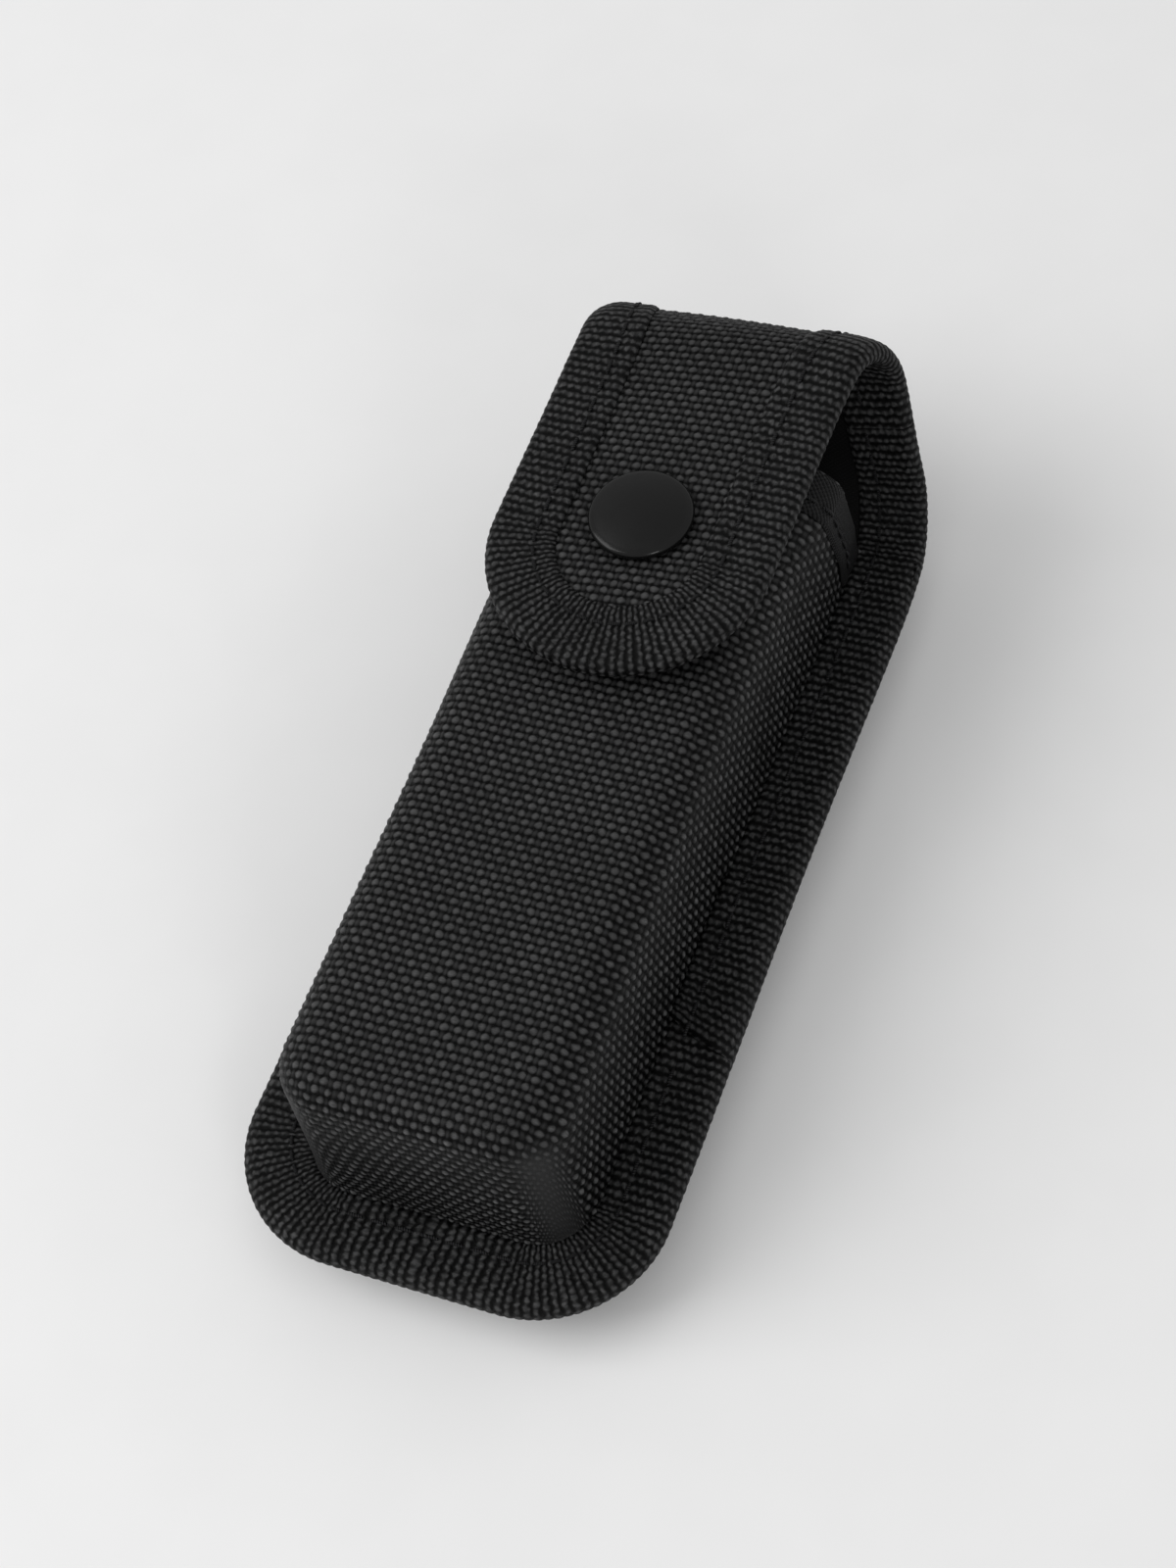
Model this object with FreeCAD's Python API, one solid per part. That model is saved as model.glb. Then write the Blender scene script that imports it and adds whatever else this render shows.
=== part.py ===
"""Nylon belt sheath for a folding multi tool, lying on its back.

A moulded three-layer shell is sewn to a three-layer strip. The strip is the back of the
pocket, rises past the mouth, turns over at the crown and comes down the front as the flap.
+X is to the right, +Y runs from the closed end to the crown and +Z points out of the front.
The shapes are drawn with y = 0 at the closed end and z = 0 on the back of the edge tape,
and save() moves them so that the origin is at the middle of the underside of the box.
"""
import FreeCAD, Part
import math
import os

Vector = FreeCAD.Vector

# ---- pocket ----
shell_width = 41.2          # outside the side walls
shell_height = 31.8         # front face above the back of the tape
shell_corner = 8.3          # plan radius of the two closed corners
shell_edge_radius = 6.0     # rounding between the front face and the walls
mouth_slope = 0.22          # how much further down the mouth edge is, per mm towards the front
flange_width = 10.1         # sewn margin outside the shell walls

# ---- layers ----
fabric = 0.6                # outer ballistic nylon
strip_foam = 1.0            # foam inside the back, crown and flap
shell_foam = 1.6            # foam inside the moulded shell
lining = 0.4                # lining cloth
tape = 0.6                  # edge binding tape
mouth_tape = 0.5            # thinner tape on the mouth

# ---- strip above the pocket ----
fold_start = 130.0          # where the back begins to rise, in line with the mouth
fold_radius = 14.0          # outside radius of that bend
rise_angle = 77.0           # slope of the riser, degrees from the back
crown_radius = 11.0         # outside radius of the turn at the top
flap_width = 41.2
flap_reach = 50.5           # from the rounded tip of the flap to the start of the bend
bend_gap = 0.25             # gap between the rigid stretches at each bend

# ---- edge binding ----
lap_start = 44.0            # end of the upper tape, lying over the lower one
lap_end = 70.0              # end of the lower tape, under the upper one
lap_step = 2.0              # length over which the upper tape steps down
mouth_tape_width = 8.0
mouth_tape_floor = 4.8      # the mouth tape stops this far above the back of the edge tape

# ---- thread ----
thread_width = 0.5
thread_height = 0.25
seam_inset = 7.0            # seam from the outer edge of the tape
mouth_seam = 5.6            # seam from the mouth edge

# ---- belt loop ----
loop_width = 38.0
loop_thickness = 1.4
loop_tab = 9.0              # sewn end
loop_ramp = 5.0             # sloping length beside each tab
loop_span = 55.0            # straight length that the belt passes behind
loop_gap = 6.0              # depth of the slot for the belt
loop_below_fold = 9.0       # from the loop's upper end to the start of the bend
loop_seam_inset = 2.0

# ---- snap fastener ----
snap_inset = 25.3           # from the tip of the flap to the middle of the snap
cap_radius = 7.5
cap_height = 2.6
cap_rim = 0.8
post_radius = 1.8
post_flare = 2.6
post_flare_height = 0.25
socket_radius = 6.2
socket_height = 2.5
socket_bore = 3.9
socket_web = 0.5
socket_gap = 0.4            # between the closed socket and the base of the stud
stud_base_radius = 6.0
stud_base_height = 0.7
stud_neck_radius = 2.5
stud_neck_height = 1.1
stud_head_radius = 3.1
stud_head_height = 0.8
stud_head_round = 0.3
spring_radius = 3.2
spring_wire = 0.3
spring_lift = 0.4           # middle of the spring above the socket's open end
rivet_radius = 5.0
rivet_height = 0.5
post_clearance = 0.05

# ---- worked out from the sizes above ----
body_half = shell_width / 2 + flange_width
body_corner = shell_corner + flange_width
flap_half = flap_width / 2
at_fabric = tape
at_foam = at_fabric + fabric
at_lining = at_foam + strip_foam
at_inside = at_lining + lining
at_face = at_inside + tape
flange_lining_top = at_inside + lining
flange_top = flange_lining_top + fabric
edge_top = flange_top + tape
rise = math.radians(rise_angle)
flap_top = shell_height + stud_base_height + socket_gap + socket_height + at_inside
flap_end = fold_start - flap_reach
snap_y = flap_end + snap_inset
crown_z = flap_top - crown_radius
riser_bottom_z = fold_radius * (1 - math.cos(rise))
riser_top_z = crown_z - crown_radius * math.cos(rise)
riser_length = (riser_top_z - riser_bottom_z) / math.sin(rise)
crown_y = (fold_start + fold_radius * math.sin(rise) + riser_length * math.cos(rise)
           - crown_radius * math.sin(rise))
fold_cut = rise / 2
crown_cut = (rise + math.pi) / 2
total_length = crown_y + crown_radius + thread_height
loop_drop = loop_gap + loop_thickness - at_fabric
loop_end = fold_start - loop_below_fold
loop_start = loop_end - loop_span - 2 * (loop_ramp + loop_tab)
reach = body_half + 10.0    # half width of blanks that are trimmed later
above = 100.0               # height of blanks that are trimmed later


def save(name, shape):
    """Move a shape into the part's frame and write it."""
    placed = shape.copy()
    placed.translate(Vector(0, -total_length / 2, loop_drop))
    assert placed.isValid(), name
    assert placed.Volume > 0, name
    placed.exportStep(os.path.join("parts", name + ".step"))
    print(f"{name:26s} {placed.Volume:10.1f} mm3  {len(placed.Solids)} solid(s)")


def box(x0, x1, y0, y1, z0, z1):
    return Part.makeBox(x1 - x0, y1 - y0, z1 - z0, Vector(x0, y0, z0))


def disc(radius, z0, z1):
    """A round bar along Z at the snap."""
    return Part.makeCylinder(radius, z1 - z0, Vector(0, snap_y, z0))


def slab(y0, y1, z0=-above, z1=above):
    return box(-reach, reach, y0, y1, z0, z1)


# ---- plan shapes, looking down on the front ----

def u_prism(half, corner, end_y, top_y, z0, z1):
    """A prism whose closed end has two rounded corners."""
    c = half - corner
    turn = corner * math.sqrt(0.5)
    centre_y = end_y + corner
    points = {
        "right_top": Vector(half, top_y, z0),
        "right": Vector(half, centre_y, z0),
        "right_mid": Vector(c + turn, centre_y - turn, z0),
        "right_end": Vector(c, end_y, z0),
        "left_end": Vector(-c, end_y, z0),
        "left_mid": Vector(-c - turn, centre_y - turn, z0),
        "left": Vector(-half, centre_y, z0),
        "left_top": Vector(-half, top_y, z0),
    }
    edges = [Part.makeLine(points["right_top"], points["right"])]
    edges.append(Part.Arc(points["right"], points["right_mid"], points["right_end"]).toShape())
    if c > 1e-6:
        edges.append(Part.makeLine(points["right_end"], points["left_end"]))
    edges.append(Part.Arc(points["left_end"], points["left_mid"], points["left"]).toShape())
    edges.append(Part.makeLine(points["left"], points["left_top"]))
    edges.append(Part.makeLine(points["left_top"], points["right_top"]))
    return Part.Face(Part.Wire(edges)).extrude(Vector(0, 0, z1 - z0))


def body_prism(inset, z0=-above, z1=above, top_y=None):
    """The outline of the sewn margin, moved in by inset."""
    top_y = total_length + reach if top_y is None else top_y
    return u_prism(body_half - inset, body_corner - inset, inset, top_y, z0, z1)


def flap_prism(inset):
    """The outline of the flap with its half-round tip, moved in by inset."""
    half = flap_half - inset
    return u_prism(half, half, flap_end + inset, total_length + reach, -above, above)


def taper_prism(inset):
    """The strip above the pocket, narrowing from the body's width to the flap's."""
    low = body_half - inset
    high = flap_half - inset
    top_z = flap_top - at_face
    y = fold_start
    corners = [(low, -above), (low, 0), (high, top_z), (high, above),
               (-high, above), (-high, top_z), (-low, 0), (-low, -above)]
    points = [Vector(x, y, z) for x, z in corners]
    face = Part.Face(Part.makePolygon(points + points[:1]))
    return face.extrude(Vector(0, total_length + reach - y, 0))


def strip_plan(stretch, inset):
    """What a stretch of the strip is trimmed to, seen from the front."""
    if stretch == "flap":
        return flap_prism(inset)
    if stretch == "crown":
        return taper_prism(inset)
    lower = body_prism(inset, top_y=fold_start)
    return lower.fuse(taper_prism(inset)).removeSplitter()


# ---- the strip's profile, seen from the side ----

def on_bend(centre_y, centre_z, radius, angle):
    return Vector(0, centre_y + radius * math.sin(angle), centre_z - radius * math.cos(angle))


def fold_point(offset, angle):
    return on_bend(fold_start, fold_radius, fold_radius - offset, angle)


def crown_point(offset, angle):
    return on_bend(crown_y, crown_z, crown_radius - offset, angle)


def bend(point, offset, start, end):
    """An arc of the fold or the crown at an offset inside the outer face."""
    middle = (start + end) / 2
    return Part.Arc(point(offset, start), point(offset, middle), point(offset, end)).toShape()


def stretch_edges(stretch, offset):
    """The edges of one stretch at an offset, with its first and last points."""
    fold_half = bend_gap / 2 / fold_radius
    crown_half = bend_gap / 2 / crown_radius
    if stretch == "back":
        first = Vector(0, 0, offset)
        last = fold_point(offset, fold_cut - fold_half)
        edges = [Part.makeLine(first, fold_point(offset, 0))]
        edges.append(bend(fold_point, offset, 0, fold_cut - fold_half))
        return edges, first, last
    if stretch == "crown":
        first = fold_point(offset, fold_cut + fold_half)
        last = crown_point(offset, crown_cut - crown_half)
        edges = [bend(fold_point, offset, fold_cut + fold_half, rise)]
        edges.append(Part.makeLine(fold_point(offset, rise), crown_point(offset, rise)))
        edges.append(bend(crown_point, offset, rise, crown_cut - crown_half))
        return edges, first, last
    first = crown_point(offset, crown_cut + crown_half)
    last = Vector(0, flap_end - 1, flap_top - offset)
    edges = [bend(crown_point, offset, crown_cut + crown_half, math.pi)]
    edges.append(Part.makeLine(crown_point(offset, math.pi), last))
    return edges, first, last


def band(stretch, near, far):
    """A stretch of the strip between two offsets from its outer face, full width."""
    near_edges, near_first, near_last = stretch_edges(stretch, near)
    far_edges, far_first, far_last = stretch_edges(stretch, far)
    edges = near_edges + far_edges
    edges.append(Part.makeLine(near_last, far_last))
    edges.append(Part.makeLine(far_first, near_first))
    face = Part.Face(Part.Wire(Part.__sortEdges__(edges)))
    solid = face.extrude(Vector(2 * reach, 0, 0))
    solid.translate(Vector(-reach, 0, 0))
    return solid


def strip_layer(stretch, near, far):
    """One cloth or foam layer of a stretch, inside the edge tape."""
    layer = band(stretch, near, far).common(strip_plan(stretch, tape))
    if stretch == "flap":
        layer = layer.cut(disc(post_radius + post_clearance, -above, above))
    return layer


def strip_edge(stretch, near, far, cavity_near, cavity_far):
    """The folded tape round the edge of a stretch: an envelope with the layers taken out."""
    envelope = band(stretch, near, far).common(strip_plan(stretch, 0))
    layers = band(stretch, cavity_near, cavity_far).common(strip_plan(stretch, tape))
    return envelope.cut(layers).cut(strip_plan(stretch, flange_width))


def seam(stretch, near, far):
    """Thread lying on one face of the tape, following the strip's edge."""
    line = strip_plan(stretch, seam_inset).cut(strip_plan(stretch, seam_inset + thread_width))
    return band(stretch, near, far).common(line)


def one_side(shape, side):
    """The part of a shape on the right (side 1) or the left (side -1)."""
    low, high = (0, reach) if side > 0 else (-reach, 0)
    return shape.common(box(low, high, -reach, total_length + reach, -above, above))


# ---- shell ----

def past_mouth(shift):
    """Everything beyond the sloping mouth edge, moved along the pocket by shift."""
    def edge_y(z):
        return fold_start + shift - mouth_slope * (z - at_inside)

    far = total_length + 2 * reach
    corners = [(edge_y(-above), -above), (far, -above), (far, above), (edge_y(above), above)]
    points = [Vector(-reach, y, z) for y, z in corners]
    return Part.Face(Part.makePolygon(points + points[:1])).extrude(Vector(2 * reach, 0, 0))


def shell_block(inset, floor):
    """The shell's solid form, moved in by inset, with its front edges rounded."""
    top = shell_height - inset
    block = body_prism(flange_width + inset, floor, top)
    far = block.BoundBox.YMax
    rim = []
    for edge in block.Edges:
        flat = edge.BoundBox.ZMin > top - 1e-4
        if flat and edge.BoundBox.YMin < far - 1e-4:
            rim.append(edge)
    return block.makeFillet(shell_edge_radius - inset, rim)


def margin(z0, z1, opening):
    """The sewn flange between two heights, open over the pocket."""
    plate = body_prism(tape, z0, z1, fold_start)
    return plate.cut(opening)


def rivet_hole():
    return disc(post_radius + post_clearance, shell_height - 10, shell_height + 10)


def make_shell():
    inner = fabric + shell_foam
    inside = inner + lining
    beyond = past_mouth(0)
    outer_wall = shell_block(0, flange_lining_top).cut(shell_block(fabric, 0))
    outer = outer_wall.cut(beyond).fuse(margin(flange_lining_top, flange_top, shell_block(fabric, 0)))
    save("shell_outer", outer.removeSplitter().cut(rivet_hole()))
    foam = shell_block(fabric, flange_lining_top).cut(shell_block(inner, 0))
    save("shell_foam", foam.cut(beyond).cut(rivet_hole()))
    lining_wall = shell_block(inner, flange_lining_top).cut(shell_block(inside, 0))
    cloth = lining_wall.cut(beyond).fuse(margin(at_inside, flange_lining_top, shell_block(inside, 0)))
    save("shell_lining", cloth.removeSplitter().cut(rivet_hole()))


def make_mouth_binding():
    """Tape folded over the mouth edge, down both walls and across the front."""
    wall_depth = fabric + shell_foam + lining
    stretch = slab(0, total_length, mouth_tape_floor).cut(past_mouth(mouth_tape))
    stretch = stretch.common(past_mouth(mouth_tape - mouth_tape_width))
    tube = shell_block(-mouth_tape, 0).cut(shell_block(wall_depth + mouth_tape, -1))
    wall = shell_block(0, 0).cut(shell_block(wall_depth, -1)).cut(past_mouth(0))
    save("mouth_binding", tube.common(stretch).cut(wall))
    outside = shell_block(-mouth_tape - thread_height, 0).cut(shell_block(-mouth_tape, -1))
    line = past_mouth(-mouth_seam).cut(past_mouth(thread_width - mouth_seam))
    save("mouth_stitching", outside.common(line).common(slab(0, total_length, mouth_tape_floor)))


# ---- strip ----

def make_strip(stretch):
    save(stretch + "_outer", strip_layer(stretch, at_fabric, at_foam))
    save(stretch + "_foam", strip_layer(stretch, at_foam, at_lining))
    save(stretch + "_lining", strip_layer(stretch, at_lining, at_inside))


def make_body_binding():
    """The lower tape: round the closed end and part of the way up both sides."""
    envelope = body_prism(0, 0, edge_top, lap_end)
    layers = body_prism(tape, at_fabric, flange_top, lap_end)
    save("body_binding", envelope.cut(layers).cut(body_prism(flange_width)))
    ring = body_prism(seam_inset).cut(body_prism(seam_inset + thread_width))
    front = ring.common(slab(0, lap_start, edge_top, edge_top + thread_height))
    back = ring.common(slab(0, lap_start, -thread_height, 0))
    save("body_stitching", Part.makeCompound([front, back]))


def side_box(half, y0, y1, z0, z1):
    return box(-half, half, y0, y1, z0, z1)


def make_upper_binding():
    """The upper tape beside the pocket: over the lower tape, then on the layers."""
    step = lap_end + lap_step
    risen = slab(fold_start, total_length)
    curve = band("back", 0, at_face).common(strip_plan("back", 0)).common(risen)
    envelope = side_box(body_half + tape, lap_start, step, -tape, edge_top + tape)
    envelope = envelope.fuse(side_box(body_half, step, fold_start, 0, edge_top))
    envelope = envelope.fuse(curve)
    layers = side_box(body_half, lap_start, lap_end, 0, edge_top)
    layers = layers.fuse(side_box(body_half - tape, lap_end, fold_start, at_fabric, flange_top))
    curve = band("back", at_fabric, at_inside).common(strip_plan("back", tape)).common(risen)
    layers = layers.fuse(curve)
    both = envelope.cut(layers).cut(strip_plan("back", flange_width))
    save("upper_binding_right", one_side(both, 1))
    save("upper_binding_left", one_side(both, -1))


def make_upper_stitching():
    step = lap_end + lap_step
    ring = strip_plan("back", seam_inset).cut(strip_plan("back", seam_inset + thread_width))
    lapped = [slab(lap_start, step, edge_top + tape, edge_top + tape + thread_height),
              slab(lap_start, step, -tape - thread_height, -tape)]
    plain = [slab(step, fold_start, edge_top, edge_top + thread_height),
             slab(step, fold_start, -thread_height, 0)]
    lines = [piece.common(ring) for piece in lapped + plain]
    risen = slab(fold_start, total_length)
    lines.append(seam("back", -thread_height, 0).common(risen))
    save("upper_stitching", Part.makeCompound(lines))


def make_crown():
    make_strip("crown")
    both = strip_edge("crown", 0, at_face, at_fabric, at_inside)
    save("crown_binding_right", one_side(both, 1))
    save("crown_binding_left", one_side(both, -1))
    save("crown_stitching", Part.makeCompound([seam("crown", -thread_height, 0),
                                               seam("crown", at_face, at_face + thread_height)]))


def make_flap():
    make_strip("flap")
    save("flap_binding", strip_edge("flap", 0, at_face, at_fabric, at_inside))
    save("flap_stitching", Part.makeCompound([seam("flap", -thread_height, 0),
                                              seam("flap", at_face, at_face + thread_height)]))


# ---- belt loop ----

def make_belt_loop():
    """Webbing sewn to the back at both ends, standing off it in between."""
    top = at_fabric
    shift = loop_thickness * math.tan(math.atan2(loop_gap, loop_ramp) / 2)
    ramp_start = loop_start + loop_tab
    flat_start = ramp_start + loop_ramp
    flat_end = flat_start + loop_span
    ramp_end = flat_end + loop_ramp
    side = [(loop_start, top), (ramp_start + shift, top), (flat_start + shift, top - loop_gap),
            (flat_end - shift, top - loop_gap), (ramp_end - shift, top), (loop_end, top)]
    low = top - loop_thickness
    side += [(loop_end, low), (ramp_end, low), (flat_end, low - loop_gap),
             (flat_start, low - loop_gap), (ramp_start, low), (loop_start, low)]
    points = [Vector(-loop_width / 2, y, z) for y, z in side]
    face = Part.Face(Part.makePolygon(points + points[:1]))
    save("belt_loop", face.extrude(Vector(loop_width, 0, 0)))
    frames = []
    for y0 in (loop_start, loop_end - loop_tab):
        frames.append(seam_frame(y0, y0 + loop_tab, low))
    save("belt_loop_stitching", Part.makeCompound(frames))


def seam_frame(y0, y1, z):
    """A rectangle of thread on one sewn tab."""
    half = loop_width / 2 - loop_seam_inset
    outer = box(-half, half, y0 + loop_seam_inset, y1 - loop_seam_inset, z - thread_height, z)
    half -= thread_width
    inset = loop_seam_inset + thread_width
    return outer.cut(box(-half, half, y0 + inset, y1 - inset, z - 1, z + 1))


# ---- snap fastener ----

def turned(corners):
    """A solid of revolution about the snap's axis from (radius, height) corners."""
    points = [Vector(r, snap_y, z) for r, z in corners]
    face = Part.Face(Part.makePolygon(points + points[:1]))
    return face.revolve(Vector(0, snap_y, 0), Vector(0, 0, 1), 360)


def make_cap():
    """The pressed cap on the outside of the flap, with its post through the layers."""
    seat = flap_top - at_fabric
    bottom = flap_top - at_inside
    rim_z = seat + cap_rim
    rim_r = cap_radius - cap_rim
    turn = cap_rim * math.sqrt(0.5)
    dome_rise = cap_height - 2 * cap_rim
    dome_radius = (rim_r ** 2 + dome_rise ** 2) / (2 * dome_rise)
    half_angle = math.asin(rim_r / dome_radius) / 2
    dome_drop = dome_radius * (1 - math.cos(half_angle))
    foot = Vector(0, snap_y, seat)
    rim_low = Vector(rim_r, snap_y, seat)
    low_mid = Vector(rim_r + turn, snap_y, rim_z - turn)
    rim_mid = Vector(cap_radius, snap_y, rim_z)
    high_mid = Vector(rim_r + turn, snap_y, rim_z + turn)
    shoulder = Vector(rim_r, snap_y, rim_z + cap_rim)
    dome_mid = Vector(dome_radius * math.sin(half_angle), snap_y, seat + cap_height - dome_drop)
    apex = Vector(0, snap_y, seat + cap_height)
    edges = [Part.makeLine(foot, rim_low)]
    edges.append(Part.Arc(rim_low, low_mid, rim_mid).toShape())
    edges.append(Part.Arc(rim_mid, high_mid, shoulder).toShape())
    edges.append(Part.Arc(shoulder, dome_mid, apex).toShape())
    edges.append(Part.makeLine(apex, foot))
    dome = Part.Face(Part.Wire(edges)).revolve(foot, Vector(0, 0, 1), 360)
    post = disc(post_radius, bottom - socket_web, seat)
    flare = disc(post_flare, bottom - socket_web - post_flare_height, bottom - socket_web)
    save("snap_cap", dome.fuse([post, flare]).removeSplitter())


def make_socket():
    top = flap_top - at_inside
    low = top - socket_height
    web = top - socket_web
    hole = post_radius + post_clearance
    save("snap_socket", turned([(hole, top), (socket_radius, top), (socket_radius, low),
                                (socket_bore, low), (socket_bore, web), (hole, web)]))
    ring = Part.makeTorus(spring_radius, spring_wire, Vector(0, snap_y, low + spring_lift))
    save("snap_spring", ring)


def make_stud():
    base = shell_height
    neck = base + stud_base_height
    head = neck + stud_neck_height
    crest = head + stud_head_height
    rounded = crest - stud_head_round
    hole = post_radius
    stud = turned([(hole, base), (stud_base_radius, base), (stud_base_radius, neck),
                   (stud_neck_radius, neck), (stud_neck_radius, head), (stud_head_radius, head),
                   (stud_head_radius, rounded), (stud_head_radius - stud_head_round, crest),
                   (0, crest), (0, head), (hole, head)])
    save("snap_stud", stud)
    inner = shell_height - fabric - shell_foam - lining
    post = disc(post_radius, inner, head)
    flange = disc(rivet_radius, inner - rivet_height, inner)
    save("snap_rivet", flange.fuse(post).removeSplitter())


os.makedirs("parts", exist_ok=True)
make_strip("back")
make_shell()
make_body_binding()
make_upper_binding()
make_upper_stitching()
make_mouth_binding()
make_crown()
make_flap()
make_belt_loop()
make_cap()
make_socket()
make_stud()
fold_pivot = fold_point(0, fold_cut)
crown_pivot = crown_point(0, crown_cut)
print("length", round(total_length, 3), "base shift", round(loop_drop, 3))
print("back_fold pivot", [round(v, 4) for v in (fold_pivot.y - total_length / 2, fold_pivot.z + loop_drop)])
print("flap_open pivot", [round(v, 4) for v in (crown_pivot.y - total_length / 2, crown_pivot.z + loop_drop)])
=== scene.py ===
"""The looks of a closed nylon belt sheath for a folding multi tool.

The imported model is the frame. Every cloth, tape, thread and webbing piece is a mesh made here
from the sheath's own sizes, in millimetres, with y = 0 at the closed end and z = 0 on the back
of the edge tape; to_frame() moves such points into the frame. Fabrics carry their weave as
relief in the mesh, and again, finer, in a material that reads the UV map "weave", where one
unit is one yarn.
"""

import math

import bpy
import numpy as np
from mathutils import Matrix, Vector


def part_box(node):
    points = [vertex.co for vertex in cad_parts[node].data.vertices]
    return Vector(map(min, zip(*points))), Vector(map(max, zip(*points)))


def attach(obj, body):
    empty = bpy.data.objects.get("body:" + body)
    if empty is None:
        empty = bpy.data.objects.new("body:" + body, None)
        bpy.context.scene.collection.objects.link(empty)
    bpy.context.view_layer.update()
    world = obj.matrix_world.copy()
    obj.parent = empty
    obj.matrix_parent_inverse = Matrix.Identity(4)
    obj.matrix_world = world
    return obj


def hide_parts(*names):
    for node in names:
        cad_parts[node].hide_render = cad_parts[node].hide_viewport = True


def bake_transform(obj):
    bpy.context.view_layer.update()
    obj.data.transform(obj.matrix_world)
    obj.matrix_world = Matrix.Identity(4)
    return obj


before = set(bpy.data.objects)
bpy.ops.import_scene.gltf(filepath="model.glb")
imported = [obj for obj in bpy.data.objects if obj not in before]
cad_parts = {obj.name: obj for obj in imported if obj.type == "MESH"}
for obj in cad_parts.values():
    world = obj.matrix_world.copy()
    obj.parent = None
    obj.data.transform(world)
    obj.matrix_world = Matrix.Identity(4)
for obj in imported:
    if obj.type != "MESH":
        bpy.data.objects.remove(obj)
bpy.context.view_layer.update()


def box_mm(node):
    """Lowest and highest corner of a CAD node in millimetres."""
    low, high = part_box(node)
    return np.array(low) * 1000, np.array(high) * 1000


tape_low, tape_high = box_mm("body_binding")
ORIGIN = np.array([0.0, tape_low[1], tape_low[2]])

# ---- pocket ----
BODY_HALF = tape_high[0]                # outer edge of the sewn margin
SHELL_HALF = 20.6                       # outside the side walls
SHELL_TOP = box_mm("shell_outer")[1][2] - ORIGIN[2]
PLAN_CORNER = 8.3                       # plan radius of the closed corners
SIDE_ROUND = 6.3                        # rounding from the front face to a side wall
END_ROUND = 4.6                         # rounding from the front face to the end wall
FOOT_ROUND = 0.9                        # fillet from a wall into the margin
CORNER_X = SHELL_HALF - PLAN_CORNER
CORNER_Y = BODY_HALF - CORNER_X
FLANGE_REACH = 8.6                      # margin cloth under the tape
MOUTH_SLOPE = 0.22
MOUTH_SHEAR = 20.0                      # length over which the rows tilt to meet the mouth
WALL_LAYERS = 2.6                       # cloth, foam and lining of the shell

# ---- layers, as offsets from the strip's outer face ----
TAPE = 0.6
AT_FOAM, AT_LINING, AT_INSIDE, AT_FACE = 1.2, 2.2, 2.6, 3.2
LINING_TOP, FLANGE_TOP, EDGE_TOP = 3.0, 3.6, 4.2
TAPE_WIDTH = 10.1
UNDER_TAPE = 8.1                        # the cloth runs this close to the edge, under the tape

# ---- strip above the pocket ----
FOLD_START, FOLD_RADIUS = 130.0, 14.0
RISE = math.radians(77)
CROWN_RADIUS = 11.0
FLAP_TOP = 38.0
FLAP_HALF, FLAP_TIP = 20.6, 79.5
RISER = ((FLAP_TOP - CROWN_RADIUS * (1 + math.cos(RISE)))
         - FOLD_RADIUS * (1 - math.cos(RISE))) / math.sin(RISE)
AT_RISER = FOLD_START + FOLD_RADIUS * RISE
AT_CROWN = AT_RISER + RISER
AT_FLAP = AT_CROWN + CROWN_RADIUS * (math.pi - RISE)
CROWN_Y = (FOLD_START + FOLD_RADIUS * math.sin(RISE) + RISER * math.cos(RISE)
           - CROWN_RADIUS * math.sin(RISE))
AT_TIP = AT_FLAP + CROWN_Y - FLAP_TIP
AT_SPLIT = AT_RISER + RISER / 2         # the strip is in two lengths, which meet here
SNAP_Y = 104.8

# ---- edge tape ----
LAP_START, LAP_END, LAP_STEP = 44.0, 70.0, 2.0
SEAM_INSET, STITCH_PITCH, STITCH_LENGTH = 7.0, 3.6, 2.9
STITCH_SIDES, THREAD_WIDTH, THREAD_HEIGHT = 8, 0.27, 0.2
MOUTH_TAPE, MOUTH_TAPE_WIDTH, MOUTH_TAPE_FLOOR, MOUTH_SEAM = 0.5, 8.0, 4.8, 5.6

# ---- fabric scale ----
COLUMN = 0.96                           # spacing of the ballistic nylon's lengthwise yarns
ROW = 1.28                              # spacing of its crosswise yarns
WALL_COLUMN = 1.56                      # the same, drawn out by moulding: down a side wall,
CREASE_ROW, END_ROW, FOOT_ROW = 1.40, 1.50, 0.92    # and down the end wall,
FOOT_COLUMN = 0.79                      # whose lengthwise yarns crowd at the foot
ROW_DRIFT = 0.27                        # rows run towards the mouth as they go down a side wall
FLAP_SKEW = 0.10                        # the flap's rows slope this much, mm per mm
RIB = 1.38                              # rib spacing of the edge tape
CELL = 0.57                             # its lengthwise yarns
TWILL = 0.8                             # line spacing of the mouth tape
FINE_YARN = 0.4                         # yarn spacing of the linings
WAVE = 0.5                              # how far a yarn rises and dips, as a share of its width
SUNK = 0.45                             # how much lower the lengthwise yarns lie
GRAIN = 0.40                            # how deeply the cells cut into a rib
CLOTH_RELIEF, TAPE_RELIEF = 0.24, 0.14  # height of the weave in the mesh

# ---- how far the sewn cloth departs from the drawn shape ----
MOUTH_BULGE, WALL_SAG = 1.1, 0.5
CROWN_TWIST, CROWN_LEAN = 0.9, 0.5
SHOULDER_DROP, SHOULDER_PULL = 2.6, 1.8
FRONT_DOME, MARGIN_WAVE, TIP_DROP = 0.35, 0.22, 0.7


# ---- small helpers ----

def smooth(value, start, end):
    t = np.clip((value - start) / (end - start), 0, 1)
    return t * t * (3 - 2 * t)


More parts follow.
